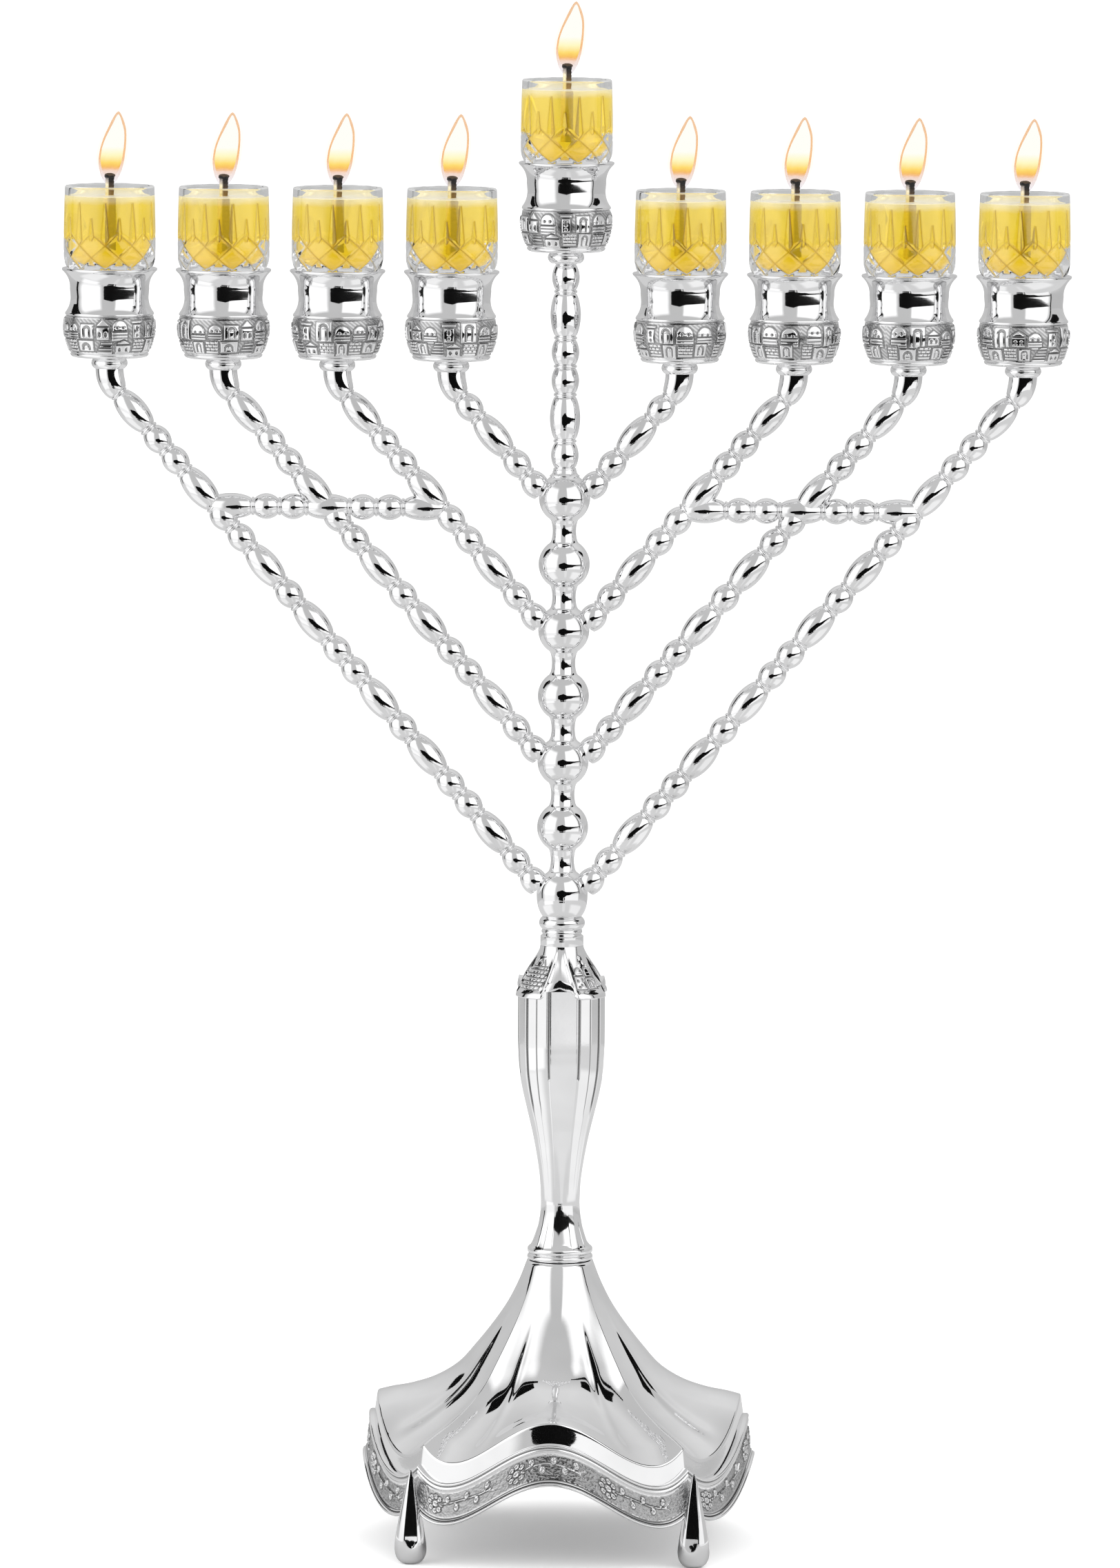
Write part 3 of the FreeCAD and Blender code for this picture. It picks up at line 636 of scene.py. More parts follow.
class Panel:
    """A height map that raised and cut ornament is drawn into, in millimetres, with a map of
    painted shade beside it.
    """

    def __init__(self, width, height, columns, rows):
        self.x = (np.arange(columns) + 0.5) * width / columns
        self.z = np.linspace(0, height, rows)
        self.grid_x, self.grid_z = np.meshgrid(self.x, self.z)
        self.width = width
        self.level = np.zeros((rows, columns))
        # dark is painted shade: how far each point's colour is darkened
        self.dark = np.zeros((rows, columns))

    def offset(self, x):
        """How far each point is to the right of x, the short way round."""
        return (self.grid_x - x + self.width / 2) % self.width - self.width / 2

    def paint(self, mask, level, dark):
        mask = np.clip(mask, 0, 1)
        self.level = self.level * (1 - mask) + level * mask
        self.dark = self.dark * (1 - mask) + dark * mask

    def fill(self, distance, level, dark, soft=0.12):
        """Paints where a signed distance is negative, with a soft edge."""
        self.paint(smooth(soft, -soft, distance), level, dark)

    def rect(self, x0, z0, x1, z1):
        """Signed distance to a rectangle, negative inside."""
        dx = np.abs(self.offset((x0 + x1) / 2)) - (x1 - x0) / 2
        dz = np.abs(self.grid_z - (z0 + z1) / 2) - (z1 - z0) / 2
        return np.maximum(dx, dz)

    def disc(self, x, z, radius, squash=1.0):
        return np.hypot(self.offset(x), (self.grid_z - z) / squash) - radius

    def arch(self, x, z0, z1, half):
        """A round-topped shape standing on z0 with its springing at z1."""
        body = self.rect(x - half, z0, x + half, z1)
        head = np.maximum(self.disc(x, z1, half), z1 - self.grid_z)
        return np.minimum(body, head)

    def roof(self, x, z0, z1, half):
        """A pitched roof from z0 up to its ridge at z1."""
        slope = (z1 - z0) / half
        side = self.grid_z - z0 + slope * np.abs(self.offset(x)) - (z1 - z0)
        side = side / math.hypot(1, slope)
        return np.maximum(side, z0 - self.grid_z)

    def line(self, x0, z0, x1, z1):
        """Distance to a line segment."""
        px = self.offset(x0)
        pz = self.grid_z - z0
        ax, az = x1 - x0, z1 - z0
        share = np.clip((px * ax + pz * az) / (ax * ax + az * az), 0, 1)
        return np.hypot(px - share * ax, pz - share * az)

    def raise_block(self, distance, level=0.32):
        """A raised flat shape with a cut all round it that is painted dark as shade."""
        self.fill(distance - 0.38, -0.18, 1.0, 0.14)
        self.fill(distance, level, 0.0, 0.14)

    def block(self, x, half, z0, z1, level=0.32):
        """A raised rectangle centred on x."""
        self.raise_block(self.rect(x - half, z0, x + half, z1), level)

    def cut(self, distance, depth=-0.2, dark=1.0):
        # a cut is painted dark as shade
        self.fill(distance, depth, dark, 0.13)

    def scratch(self, x0, z0, x1, z1, width):
        """A thin cut line, painted dark as shade."""
        self.fill(self.line(x0, z0, x1, z1) - width, -0.1, 0.9, 0.14)


def draw_building(panel, kind, centre, wide, floor, peak):
    """One raised building with its outline and openings painted dark as shade, and its courses cut
    and painted dark.
    """
    tall = peak - floor
    if kind == "house":
        eaves = floor + tall * 0.6
        panel.block(centre, wide * 0.42, floor, eaves)
        panel.raise_block(panel.roof(centre, eaves + 0.45, peak, wide * 0.46))
        for spot in (-0.2, 0.2):
            panel.cut(panel.arch(centre + spot * wide, floor + tall * 0.14, floor + tall * 0.3,
                                 0.42))
    elif kind == "dome":
        mid = floor + tall * 0.42
        half = min(wide * 0.4, tall * 0.48)
        panel.block(centre, half + 0.25, floor, mid)
        panel.raise_block(panel.arch(centre, mid + 0.45, peak - half, half))
        for spot in (-0.42, 0.42):
            panel.cut(panel.disc(centre + spot * half, peak - half, 0.36))
        for up in (0.3, 0.68):
            level = floor + (mid - floor) * up
            panel.scratch(centre - half, level, centre + half, level, 0.14)
    elif kind == "wall":
        left, right = centre - wide * 0.44, centre + wide * 0.44
        panel.block(centre, wide * 0.46, floor, peak, 0.24)
        course, level = 0, floor + 0.8
        while level < peak:
            panel.scratch(left, level, right, level, 0.12)
            brick = left + (0.8 if course % 2 else 0.0)
            while brick < right:
                panel.scratch(brick, level, brick, min(level + 1.0, peak), 0.1)
                brick += 1.6
            course += 1
            level += 1.0
    elif kind == "steps":
        level, left = floor, centre - wide * 0.45
        while level < peak - 0.5:
            panel.raise_block(panel.rect(left, level, centre + wide * 0.42, level + 0.45), 0.28)
            level += 0.95
            left += 0.55
    elif kind == "tower":
        panel.block(centre, wide * 0.24, floor, peak - 1.1)
        panel.block(centre, wide * 0.34, peak - 0.7, peak, 0.38)
        panel.cut(panel.arch(centre, floor + tall * 0.42, floor + tall * 0.62, 0.42))
        panel.cut(panel.disc(centre, floor + tall * 0.2, 0.4))
    else:
        sill = floor + 0.45
        panel.block(centre, wide * 0.45, floor, peak)
        panel.cut(panel.arch(centre, sill, peak - wide * 0.36, wide * 0.26), -0.16, 0.8)
        panel.fill(panel.arch(centre, sill, peak - wide * 0.4, wide * 0.15), 0.2, 0.05, 0.16)


def draw_town(panel, seed, low, high):
    """An old walled town in two tiers, with domes on top and blocks below, on a hatched ground
    darkened with painted shade.
    """
    rng = np.random.default_rng(seed)
    panel.level += -0.12
    # painted shade: the ground is darkened, in hatched bands that are the ground's own pattern
    panel.dark += 0.62 + 0.25 * np.sin((panel.grid_x * 3.1 + panel.grid_z * 3.9) * 1.3)
    tiers = [
        (0.38, 0.99, 4.6, 6.6, ["dome", "arch", "house", "dome", "tower", "arch", "dome"], 0.16),
        (0.02, 0.44, 3.4, 6.4, ["wall", "arch", "steps", "house", "wall", "arch"], 0.1),
    ]
    for bottom, top, narrow, broad, kinds, loose in tiers:
        x = float(rng.uniform(0, 2))
        end = x + panel.width
        turn = int(rng.integers(0, len(kinds)))
        while x < end - narrow:
            wide = min(float(rng.uniform(narrow, broad)), end - x - 0.4)
            floor = low + (high - low) * (bottom + float(rng.uniform(-loose, loose)) * 0.4)
            peak = low + (high - low) * (top - float(rng.uniform(0, loose)))
            draw_building(panel, kinds[turn % len(kinds)], (x + wide / 2) % panel.width, wide,
                          max(floor, low + 0.1), peak)
            x += wide + 0.35
            turn += 1
    border = smooth(low - 0.2, low + 0.4, panel.grid_z)
    border = border * smooth(high + 0.25, high - 0.3, panel.grid_z)
    panel.level *= border
    panel.dark *= border


# ---------------------------------------------------------------- capital

CAPITAL_GIRTH = 96.0
CAPITAL_LIFT = 3.4      # the lower edge is higher than the CAD body's, as in the photo


def draw_bricks(panel, x):
    """A lobe with a lens of bricks under a domed roof."""
    level, course = 4.2, 0
    while level < 11.8:
        half = 6.3 - 0.12 * (level - 7.5) ** 2
        brick = x - 7.0 + (1.0 if course % 2 else 0.0)
        while brick < x + 7.0:
            if abs(brick - x) < half:
                panel.block(brick, 0.8, level, level + 1.0, 0.3)
            brick += 2.05
        level += 1.45
        course += 1
    panel.raise_block(panel.arch(x, 12.3, 12.4, 2.2), 0.3)
    panel.block(x, 3.6, 11.7, 12.3, 0.3)
    for spot in (-2.7, 2.7):
        panel.raise_block(panel.roof(x + spot, 12.8, 14.6, 1.1), 0.25)
    panel.scratch(x - 2.5, 16.2, x + 2.5, 16.2, 0.16)


def draw_gate(panel, x):
    """A lobe with a gate, pierced walls, a spire, two domes and stars."""
    panel.raise_block(panel.rect(x - 5.6, 4.4, x - 1.6, 9.0), 0.3)
    panel.raise_block(panel.rect(x - 1.0, 4.4, x + 3.0, 8.2), 0.3)
    panel.cut(panel.arch(x + 1.0, 4.8, 6.4, 1.2), -0.15, 0.8)
    for rib in (0.5, 1.0, 1.5):
        panel.fill(panel.line(x + rib, 4.8, x + rib, 7.0) - 0.12, 0.1, 0.1, 0.16)
    for spot, up in ((-4.6, 7.6), (-3.4, 6.0), (-2.4, 7.9), (-4.4, 5.3)):
        panel.cut(panel.disc(x + spot, up, 0.4))
    panel.raise_block(panel.roof(x + 4.6, 5.0, 10.4, 1.2), 0.28)
    panel.raise_block(panel.arch(x - 3.2, 9.6, 10.4, 1.7), 0.3)
    panel.raise_block(panel.arch(x + 1.2, 9.0, 10.6, 1.5), 0.3)
    for spot, up in ((-1.5, 13.4), (1.4, 14.0), (0.0, 15.8), (3.0, 12.6)):
        for turn in np.arange(3) * math.pi / 3:
            dx, dz = 0.7 * math.cos(turn), 0.7 * math.sin(turn)
            ray = panel.line(x + spot - dx, up - dz, x + spot + dx, up + dz)
            panel.fill(ray - 0.12, 0.25, 0.0, 0.16)


def build_capital():
    """Four ornamented lobes on the diagonals with smooth petals between them."""
    low, high = box("capital")
    top = high[2]
    around, rows = 512, 96
    angle = full_turn(around)
    corner = np.abs(quarter_turn(angle))            # 0 on a side's middle, 45 on a diagonal
    share = np.linspace(0, 1, rows)[:, None]
    fall = 1 - share                                # 0 at the top, 1 at the bottom edge
    petal_half = 5.0 + 12.5 * fall ** 1.2
    lobe = smooth(0, 7.0, corner[None, :] - petal_half)
    lobe_bottom = -19.6 + 1.9 * smooth(26, 14, corner)
    petal_bottom = -15.6 - 1.7 * np.clip(corner / 17.5, 0, 1) ** 0.8
    bottom = np.where(corner > 17.5, lobe_bottom, petal_bottom)
    bottom = np.convolve(np.concatenate([bottom[-3:], bottom, bottom[:3]]), np.ones(7) / 7, "valid")
    drop = (bottom[None, :] + CAPITAL_LIFT) * fall
    lobe_radius = 6.85 + 8.6 * (0.35 * fall + 0.65 * smooth(0, 1, fall ** 1.05))
    lip = smooth(0.80, 0.90, fall)
    lobe_radius = lobe_radius + 0.35 * lip - 1.5 * smooth(0.955, 1.0, fall) ** 2
    petal_radius = 6.85 + 6.95 * fall ** 1.25 - 0.5 * np.sin(np.pi * fall)
    petal_radius = petal_radius + 0.6 * smooth(0.93, 0.97, fall) - 0.5 * smooth(0.97, 1.0, fall)
    radius = petal_radius * (1 - lobe) + lobe_radius * lobe

    panel = Panel(CAPITAL_GIRTH, 20.0, around, rows)
    # painted shade on the lobes' ground, outlines and cuts
    panel.dark += 0.16
    for quarter in range(4):
        draw = draw_gate if quarter % 2 else draw_bricks
        draw(panel, CAPITAL_GIRTH * ((45 + 90 * quarter) % 360) / 360)
    fade = smooth(0.5, 1.0, lobe) * smooth(0.12, 0.24, share) * smooth(0.92, 0.8, share)
    radius = radius + panel.level * fade
    painted_shade = panel.dark * fade * 0.6
    rings = rings_about(radius, angle, top + drop)
    under = rings[0].copy()
    tucked = under.copy()
    tucked[:, :2] *= (14.0 / np.hypot(under[:, 0], under[:, 1]))[:, None]
    tucked[:, 2] += 0.7
    inner = tucked.copy()
    inner[:, :2] *= 0.97
    inner[:, 2] = np.maximum(inner[:, 2] + 2.0, low[2] + 0.4)
    rings = np.concatenate([[inner], [tucked], rings])
    painted_shade = np.vstack([np.zeros((2, around)), painted_shade])
    mesh = ringed("capital_lobes", rings, sharp=60, painted_shade=painted_shade)
    put_silver("bell_capital", mesh, "capital", RELIEF)


# ---------------------------------------------------------------- domed base

LOBE, DEPTH, CUSP_RISE = 35.0, 14.8, 4.4
BELL = [(10.5, 90.5), (13.0, 84.0), (16.5, 77.0), (21.0, 70.3), (26.6, 63.2),
        (32.2, 57.0), (39.3, 52.6), (47.0, 50.0), (53.3, 48.8), (57.7, 47.7)]


def rim_wave(angle):
    """How far the rim drops at an angle in degrees from the middle of a side."""
    swing = np.abs(angle)
    to_lobe = DEPTH * (1 - np.cos(np.pi * swing / LOBE)) / 2
    to_cusp = DEPTH - CUSP_RISE * ((swing - LOBE) / (45 - LOBE)) ** 2
    return np.where(swing <= LOBE, to_lobe, to_cusp)


def quarter_turn(angle):
    """Signed angle from the middle of the nearest side, in degrees."""
    return (np.degrees(angle) + 45) % 90 - 45


def shell_rings(path, share, around):
    """Rings of an outline turned about Z, each height waving with the rim by its share."""
    angle = full_turn(around)
    wave = rim_wave(quarter_turn(angle))
    radius = np.repeat(path[:, :1], around, axis=1)
    height = path[:, 1:2] - share[:, None] * wave[None, :]
    return radius, height, angle


def build_bell():
    """The dome from its neck to the rolled rim, its plain wall and the inside of the pressing."""
    around = 720
    outside = through(BELL, 54)
    fade = np.clip((outside[:, 0] - 10.5) / 47.2, 0, 1) ** 1.3
    roll = np.array([(57.95, 47.5), (58.1, 47.2), (58.2, 46.75), (58.26, 46.3), (58.36, 45.6),
                     (58.52, 44.5), (58.72, 43.1), (58.9, 41.8), (59.0, 41.0)])
    inside = np.array([(56.2, 41.0), (56.1, 45.6), (53.0, 47.4), (47.0, 48.6), (39.3, 51.1),
                       (31.6, 55.6), (25.6, 62.0), (20.0, 69.2), (15.4, 76.2), (11.8, 83.4),
                       (9.4, 90.5)])
    inside_fade = np.clip((inside[:, 0] - 9.4) / 46.7, 0, 1) ** 1.3
    inside_fade[0] = 1
    path = np.vstack([outside, roll, inside])[::-1]
    share = np.concatenate([fade, np.ones(len(roll)), inside_fade])[::-1]
    radius, height, angle = shell_rings(path, share, around)
    turn = quarter_turn(angle)[None, :]
    outer = np.arange(len(path))[:, None] >= len(path) - len(outside)
    run = smooth(14, 30, radius) * smooth(58, 50, radius)
    fold = np.exp(-((np.abs(turn) - 24.5) / 2.6) ** 2)
    height = height + outer * run * 0.55 * fold
    rings = rings_about(radius, angle, height)
    mesh = ringed("bell_pressing", rings, cap_low=False, cap_high=False, sharp=75)
    mesh_close(mesh, len(path), around)
    put_silver("waved_dome", mesh, "base_shell")


def mesh_close(mesh, rows, around):
    """Joins the first and last rings of a skin so that it is a closed wall."""
    shell = bmesh.new()
    shell.from_mesh(mesh)
    shell.verts.ensure_lookup_table()
    last = (rows - 1) * around
    for spoke in range(around):
        after = (spoke + 1) % around
        shell.faces.new([shell.verts[last + spoke], shell.verts[last + after],
                         shell.verts[after], shell.verts[spoke]]).smooth = True
    shell.to_mesh(mesh)
    shell.free()


BAND_HIGH, FLOWER_HEIGHT = 7.6, 4.0
RIM_HEIGHT, BAND_RADIUS = 47.7, 60.8
SPRIG_REACH = 17.5
FLOWER_TURNS = (-37.0, -10.0, 17.5)        # degrees from the middle of a side


def draw_flowers(panel, spots, reach):
    """Flowers with leafy sprigs to their right, on a stippled ground; painted shade darkens the
    ground, the stipple's hollows and the outlines.
    """
    rng = np.random.default_rng(11)
    # painted shade on the ground and in the stipple's hollows
    panel.dark += 0.42
    speckle = rng.uniform(-1, 1, panel.level.shape)
    speckle = (speckle + np.roll(speckle, 1, 0) + np.roll(speckle, 1, 1)) / 3
    panel.level += -0.1 + 0.16 * speckle
    panel.dark += 0.3 * np.clip(-speckle, 0, 1)
    for x in spots:
        for petal in range(8):
            turn = 2 * math.pi * petal / 8
            px, pz = x + 2.2 * math.cos(turn), FLOWER_HEIGHT + 2.2 * math.sin(turn)
            panel.fill(panel.disc(px, pz, 1.12), -0.1, 1.0)
            panel.fill(panel.disc(px, pz, 0.82), 0.4, 0.0, 0.14)
            panel.fill(panel.disc(px, pz, 0.34), 0.1, 0.6, 0.14)
        panel.fill(panel.disc(x, FLOWER_HEIGHT, 1.25), -0.05, 0.85)
        panel.fill(panel.disc(x, FLOWER_HEIGHT, 0.98), 0.42, 0.0, 0.14)
        panel.fill(panel.disc(x, FLOWER_HEIGHT, 0.45), 0.15, 0.4, 0.14)
        start = (x + 2.8, FLOWER_HEIGHT + 0.3)
        stem = [start] + [(x + 2.8 + reach * step / 14,
                           FLOWER_HEIGHT + 0.3 + 0.55 * math.sin(step / 14 * 4.4))
                          for step in range(1, 15)]
        for half, level, dark in ((0.5, -0.1, 1.0), (0.24, 0.4, 0.0)):
            for near, far in zip(stem, stem[1:]):
                panel.fill(panel.line(*near, *far) - half, level, dark)
        for leaf in range(5):
            along = x + 4.4 + leaf * (reach - 3.2) / 4
            above = 1 if leaf % 2 == 0 else -1
            tip, root = FLOWER_HEIGHT + 0.3 + above * 2.1, FLOWER_HEIGHT + 0.4
            lx, lz = along + 0.5 * 0.6, (tip + root) / 2 + above * 0.35
            panel.fill(panel.disc(lx, lz, 1.06, 1.3), -0.1, 1.0)
            panel.fill(panel.disc(lx, lz, 0.8, 1.4), 0.4, 0.0, 0.14)
            panel.fill(panel.disc(lx, lz, 0.28, 1.5), 0.08, 0.5)
            panel.fill(panel.line(along - 0.5, root, lx, lz - above * 0.8) - 0.16, 0.3, 0.0)
        end_x, end_z = stem[-1]
        for rise in (1.3, -1.1):
            panel.fill(panel.line(end_x - 0.8, end_z, end_x + 1.4, end_z + rise) - 0.2, 0.34, 0.0)


def build_skirt():
    """The skirt under the rim: two ribs, the flower band, two more ribs and the lip."""
    around = 1440
    top_rows = trace([(57.2, 7.1), (58.2, 6.35), (60.0, 6.25), (60.5, 6.45), (60.75, 6.75),
                      (60.75, 7.15), (60.45, 7.45), (60.35, 7.65), (60.4, 7.9), (60.7, 8.15),
                      (60.75, 8.5), (60.45, 8.8), (60.3, 9.1), (60.3, 9.5)])
    band = np.stack([np.interp(np.linspace(9.7, 17.3, 36), [9.7, 17.3], [60.35, 61.35]),
                     np.linspace(9.7, 17.3, 36)], axis=1)
    low_rows = trace([(61.35, 17.5), (61.4, 17.65), (61.75, 17.8), (61.85, 18.0), (61.7, 18.2),
                      (61.55, 18.3), (61.7, 18.4), (62.15, 18.5), (62.6, 18.75), (62.75, 19.1),
                      (62.6, 19.45), (62.1, 19.6), (61.3, 19.5), (60.3, 15.0), (59.2, 9.2),
                      (58.9, 8.0), (56.9, 7.6)])
    path = np.vstack([top_rows, band, low_rows])
    path[:, 1] = RIM_HEIGHT - path[:, 1]
    path = path[::-1]
    share = np.ones(len(path))
    radius, height, angle = shell_rings(path, share, around)
    first = len(low_rows)
    last = first + len(band)
    width = 2 * math.pi * BAND_RADIUS
    panel = Panel(width, BAND_HIGH, around, len(band))
    spots = [((270 + motif + 90 * quarter) % 360) / 360 * width
             for quarter in range(4) for motif in FLOWER_TURNS]
    draw_flowers(panel, spots, SPRIG_REACH)
    relief = np.zeros((len(path), around))
    deep = np.zeros((len(path), around))
    up = panel.grid_z
    border = smooth(-0.2, 0.4, up) * smooth(BAND_HIGH + 0.2, BAND_HIGH - 0.4, up)
    relief[first:last] = panel.level * border
    deep[first:last] = panel.dark * border
    # painted shade: dark lines in the gaps between the ribs
    gaps = np.abs(RIM_HEIGHT - path[:, 1:2] - [7.55, 9.3, 17.55, 18.3])
    deep = np.maximum(deep, 0.75 * (gaps.min(axis=1, keepdims=True) < 0.16))
    radius = radius + relief
    rings = rings_about(radius, angle, height)
    mesh = ringed("skirt_band", rings, cap_low=False, cap_high=False, sharp=60, painted_shade=deep)
    mesh_close(mesh, len(path), around)
    put_silver("flowered_skirt", mesh, "base_shell", RELIEF)


FACE_TURN = 53      # degrees from a foot's outward side to the middle of a face
TOE = 5.15


def build_feet():
    """Cast feet: pointed clubs, two flat faces meeting in an outer ridge, and a rounded toe."""
    high = box("feet")[1]
    centre = high[0] - TOE
    tip = high[2]
    heights = np.concatenate([np.linspace(0, 1, 9)[:-1] ** 1.6 * 1.6, np.linspace(1.6, tip, 60)])
    outline = np.array([(1.9, 0.0), (2.7, 0.12), (3.7, 0.75), (4.5, 1.9), (5.0, 3.5), (5.2, 5.6),
                        (5.05, 8.0), (4.6, 10.8), (3.9, 14.4), (3.1, 18.2), (2.25, 22.2),
                        (1.3, 26.2), (0.3, tip)])
    curve = through(outline, 90)
    radius = np.interp(heights, curve[:, 1], curve[:, 0])[:, None]
    around = 144
    angle = full_turn(around)
    for quarter, (sx, sy) in enumerate(((1, 1), (-1, 1), (-1, -1), (1, -1))):
        facing = math.atan2(sy, sx)
        swing = np.degrees(np.abs((angle - facing + np.pi) % (2 * np.pi) - np.pi))
        hold = smooth(2.5, 8.5, heights)[:, None]
        off = swing - FACE_TURN
        flat = 1 / np.cos(np.radians(np.clip(off, -30, 24)))
        flat = 0.9 * np.where(off > 24, 1 + (flat - 1) * smooth(110, 24, off), flat)
        size = radius * (1 + hold * (flat[None, :] - 1))
        rings = rings_about(size, angle, heights[:, None])
        rings += [centre * sx, centre * sy, 0]
        mesh = ringed(f"foot_{quarter + 1}_club", rings, sharp=75)
        put_silver(f"pointed_foot_{quarter + 1}", mesh, "feet")


# ---------------------------------------------------------------- lights

TOWN_FOOT, TOWN_TOP, TOWN_RADIUS = 5.4, 16.7, 14.0


def cup_mesh():
    """A metal cup: collar, lip, band with the town relief, flared mouth, funnel and socket."""
    around = 480
    below = soften(trace([(3.4, 0.0), (4.7, 0.0), (5.0, 0.3), (5.0, 3.3, 0.75), (4.7, 3.6),
                          (4.9, 3.75), (11.2, 3.75), (11.9, 3.95), (12.35, 4.4), (12.4, 4.85),
                          (12.1, 5.15), (12.0, 5.3)], 12), 0.2)
    band_z = np.linspace(TOWN_FOOT, TOWN_TOP, 58)
    lift = (band_z - TOWN_FOOT) / 11.3
    band = np.stack([12.1 + 2.3 * np.sin(np.pi * (0.06 + 0.64 * lift)), band_z], axis=1)
    above = soften(trace([(13.6, 16.85), (13.55, 17.0), (13.9, 17.1), (14.1, 17.4), (14.05, 17.8),
                          (12.35, 23.0, -0.5), (12.55, 25.4, 0.0), (15.0, 31.2, -0.75),
                          (15.12, 31.6), (15.0, 31.92), (14.7, 32.0), (14.42, 31.85),
                          (11.2, 24.35, 0.5), (10.8, 24.05), (6.3, 24.0), (6.05, 23.8),
                          (6.05, 14.6), (5.8, 14.5), (2.3, 14.5)], 14), 0.35)
    path = np.vstack([below, band, above])
    first, last = len(below), len(below) + len(band)
    width = 2 * math.pi * TOWN_RADIUS
    panel = Panel(width, 11.3, around, len(band))
    draw_town(panel, 5, 0.2, 11.15)
    relief = np.zeros((len(path), around))
    deep = np.zeros((len(path), around))
    relief[first:last] = panel.level
    # painted shade: the town's ground, outlines and cuts, and a dark line under the lip
    deep[first:last] = 0.75 * panel.dark
    deep[last:last + 2] = 0.5
    angle = full_turn(around)
    radius = path[:, :1] + relief
    rings = rings_about(radius, angle, path[:, 1:2])
    return ringed("cup_town", rings, sharp=55, painted_shade=deep)


GLASS_RADIUS, CUTS_AROUND = 14.5, 10


def glass_mesh():
    """A cut-glass oil cup: diamond lattice below, lancet cuts above, and a solid peg."""
    around = 320
    peg = np.array([(4.9, 18.05), (5.45, 18.25), (5.68, 18.7), (5.68, 28.6), (5.9, 29.3),
                    (6.6, 29.55)])
    wall = through([(9.0, 29.6), (10.6, 29.95), (12.3, 30.9), (13.6, 32.4), (14.3, 34.3),
                    (14.5, 36.5), (14.5, 44.0), (14.35, 52.0), (14.15, 57.3)], 96)
    rim = np.array([(14.1, 57.7), (13.85, 57.95), (13.5, 58.0), (13.15, 57.9), (12.95, 57.6)])
    inner = through([(12.87, 57.2), (13.15, 48.0), (13.2, 38.5), (12.9, 35.6), (11.6, 33.3),
                     (9.4, 32.25), (6.0, 32.1), (1.0, 32.1)], 26)
    path = np.vstack([peg, wall, rim, inner])
    angle = full_turn(around)
    first, last = len(peg), len(peg) + len(wall)
    height = wall[:, 1:2]
    pitch = 2 * np.pi / CUTS_AROUND
    rise = 7.6
    depth = np.zeros((len(wall), around))
    # line is painted shade along the edges of the cuts
    line = np.zeros((len(wall), around))
    inside = smooth(30.2, 31.6, height) * smooth(43.8, 42.6, height)
    for lean in (-1, 1):
        phase = (angle[None, :] + lean * (height - 32.0) / rise * pitch) / pitch
        off = np.abs(phase - np.round(phase)) * pitch * GLASS_RADIUS * 0.72
        depth = np.maximum(depth, 0.42 * np.clip(1 - off / 0.9, 0, 1) * inside)
        line = np.maximum(line, np.exp(-(off / 0.3) ** 2) * inside * (1.0 if lean > 0 else 0.7))
    lancets = ((0.5, 53.5, 40.5, 1.15, 0.5), (0.0, 48.5, 41.5, 0.8, 0.4))
    for shift, crest, foot, half, deep in lancets:
        star = (angle[None, :] / pitch + shift) % 1.0 - 0.5
        sideways = np.abs(star) * pitch * GLASS_RADIUS
        taper = np.clip((crest - height) / (crest - foot), 0, 1)
        taper = taper * smooth(foot - 0.6, foot + 1.2, height)
        open_half = 0.2 + half * taper
        lancet = deep * taper ** 0.5 * np.clip(1 - sideways / open_half, 0, 1)
        depth = np.maximum(depth, lancet)
        for side, strength in ((1, 1.0), (-1, 0.6)):
            flank = star * pitch * GLASS_RADIUS - side * open_half
            line = np.maximum(line, strength * np.exp(-(flank / 0.27) ** 2) * (taper > 0.02))
    radius = np.repeat(path[:, :1], around, axis=1)
    radius[first:last] -= depth
    rings = rings_about(radius, angle, path[:, 1:2])
    painted_shade = np.zeros((len(path), around))
    painted_shade[first:last] = line
    return ringed("glass_cut", rings, sharp=30, painted_shade=painted_shade)


def oil_mesh():
    """The oil fill, which meets the glass and climbs a little where it touches it."""
    path = through([(0.8, 32.04), (6.0, 32.04), (9.3, 32.22), (11.45, 33.3), (12.75, 35.7),
                    (13.18, 38.8), (13.2, 48.0), (13.03, 55.0)], 40)
    top = np.array([(12.75, 54.9), (12.2, 54.76), (11.0, 54.72), (6.0, 54.72), (1.9, 54.74),
                    (1.5, 54.86), (1.25, 55.0)])
    return ringed("oil_fill", lathe_rings(np.vstack([path, top]), 96), sharp=50)


def wick_mesh():
    """A twisted braid with a frayed, charred and slightly mushroomed tip."""
    around = 36
    height = np.concatenate([np.linspace(39.0, 62.1, 110), np.linspace(62.2, 63.5, 10)])[:, None]
    angle = full_turn(around)
    twist = height * 1.9
    strands = 0.11 * np.abs(np.cos(1.5 * (angle - twist)))
    cross = 0.05 * np.abs(np.cos(1.5 * (angle + twist)))
    size = 1.35 + strands + cross - 0.1
    flare = 1 + 0.22 * smooth(61.7, 62.7, height)
    close = np.sqrt(np.clip(1 - ((height - 62.7) / 0.85).clip(0, 1) ** 2, 0.03, 1))
    nibble = 1 + 0.1 * np.sin(5 * angle) * smooth(61.5, 63.0, height)
    radius = size * flare * close * nibble
    radius[0] *= 0.8
    return ringed("wick_braid", rings_about(radius, angle, height), sharp=70)


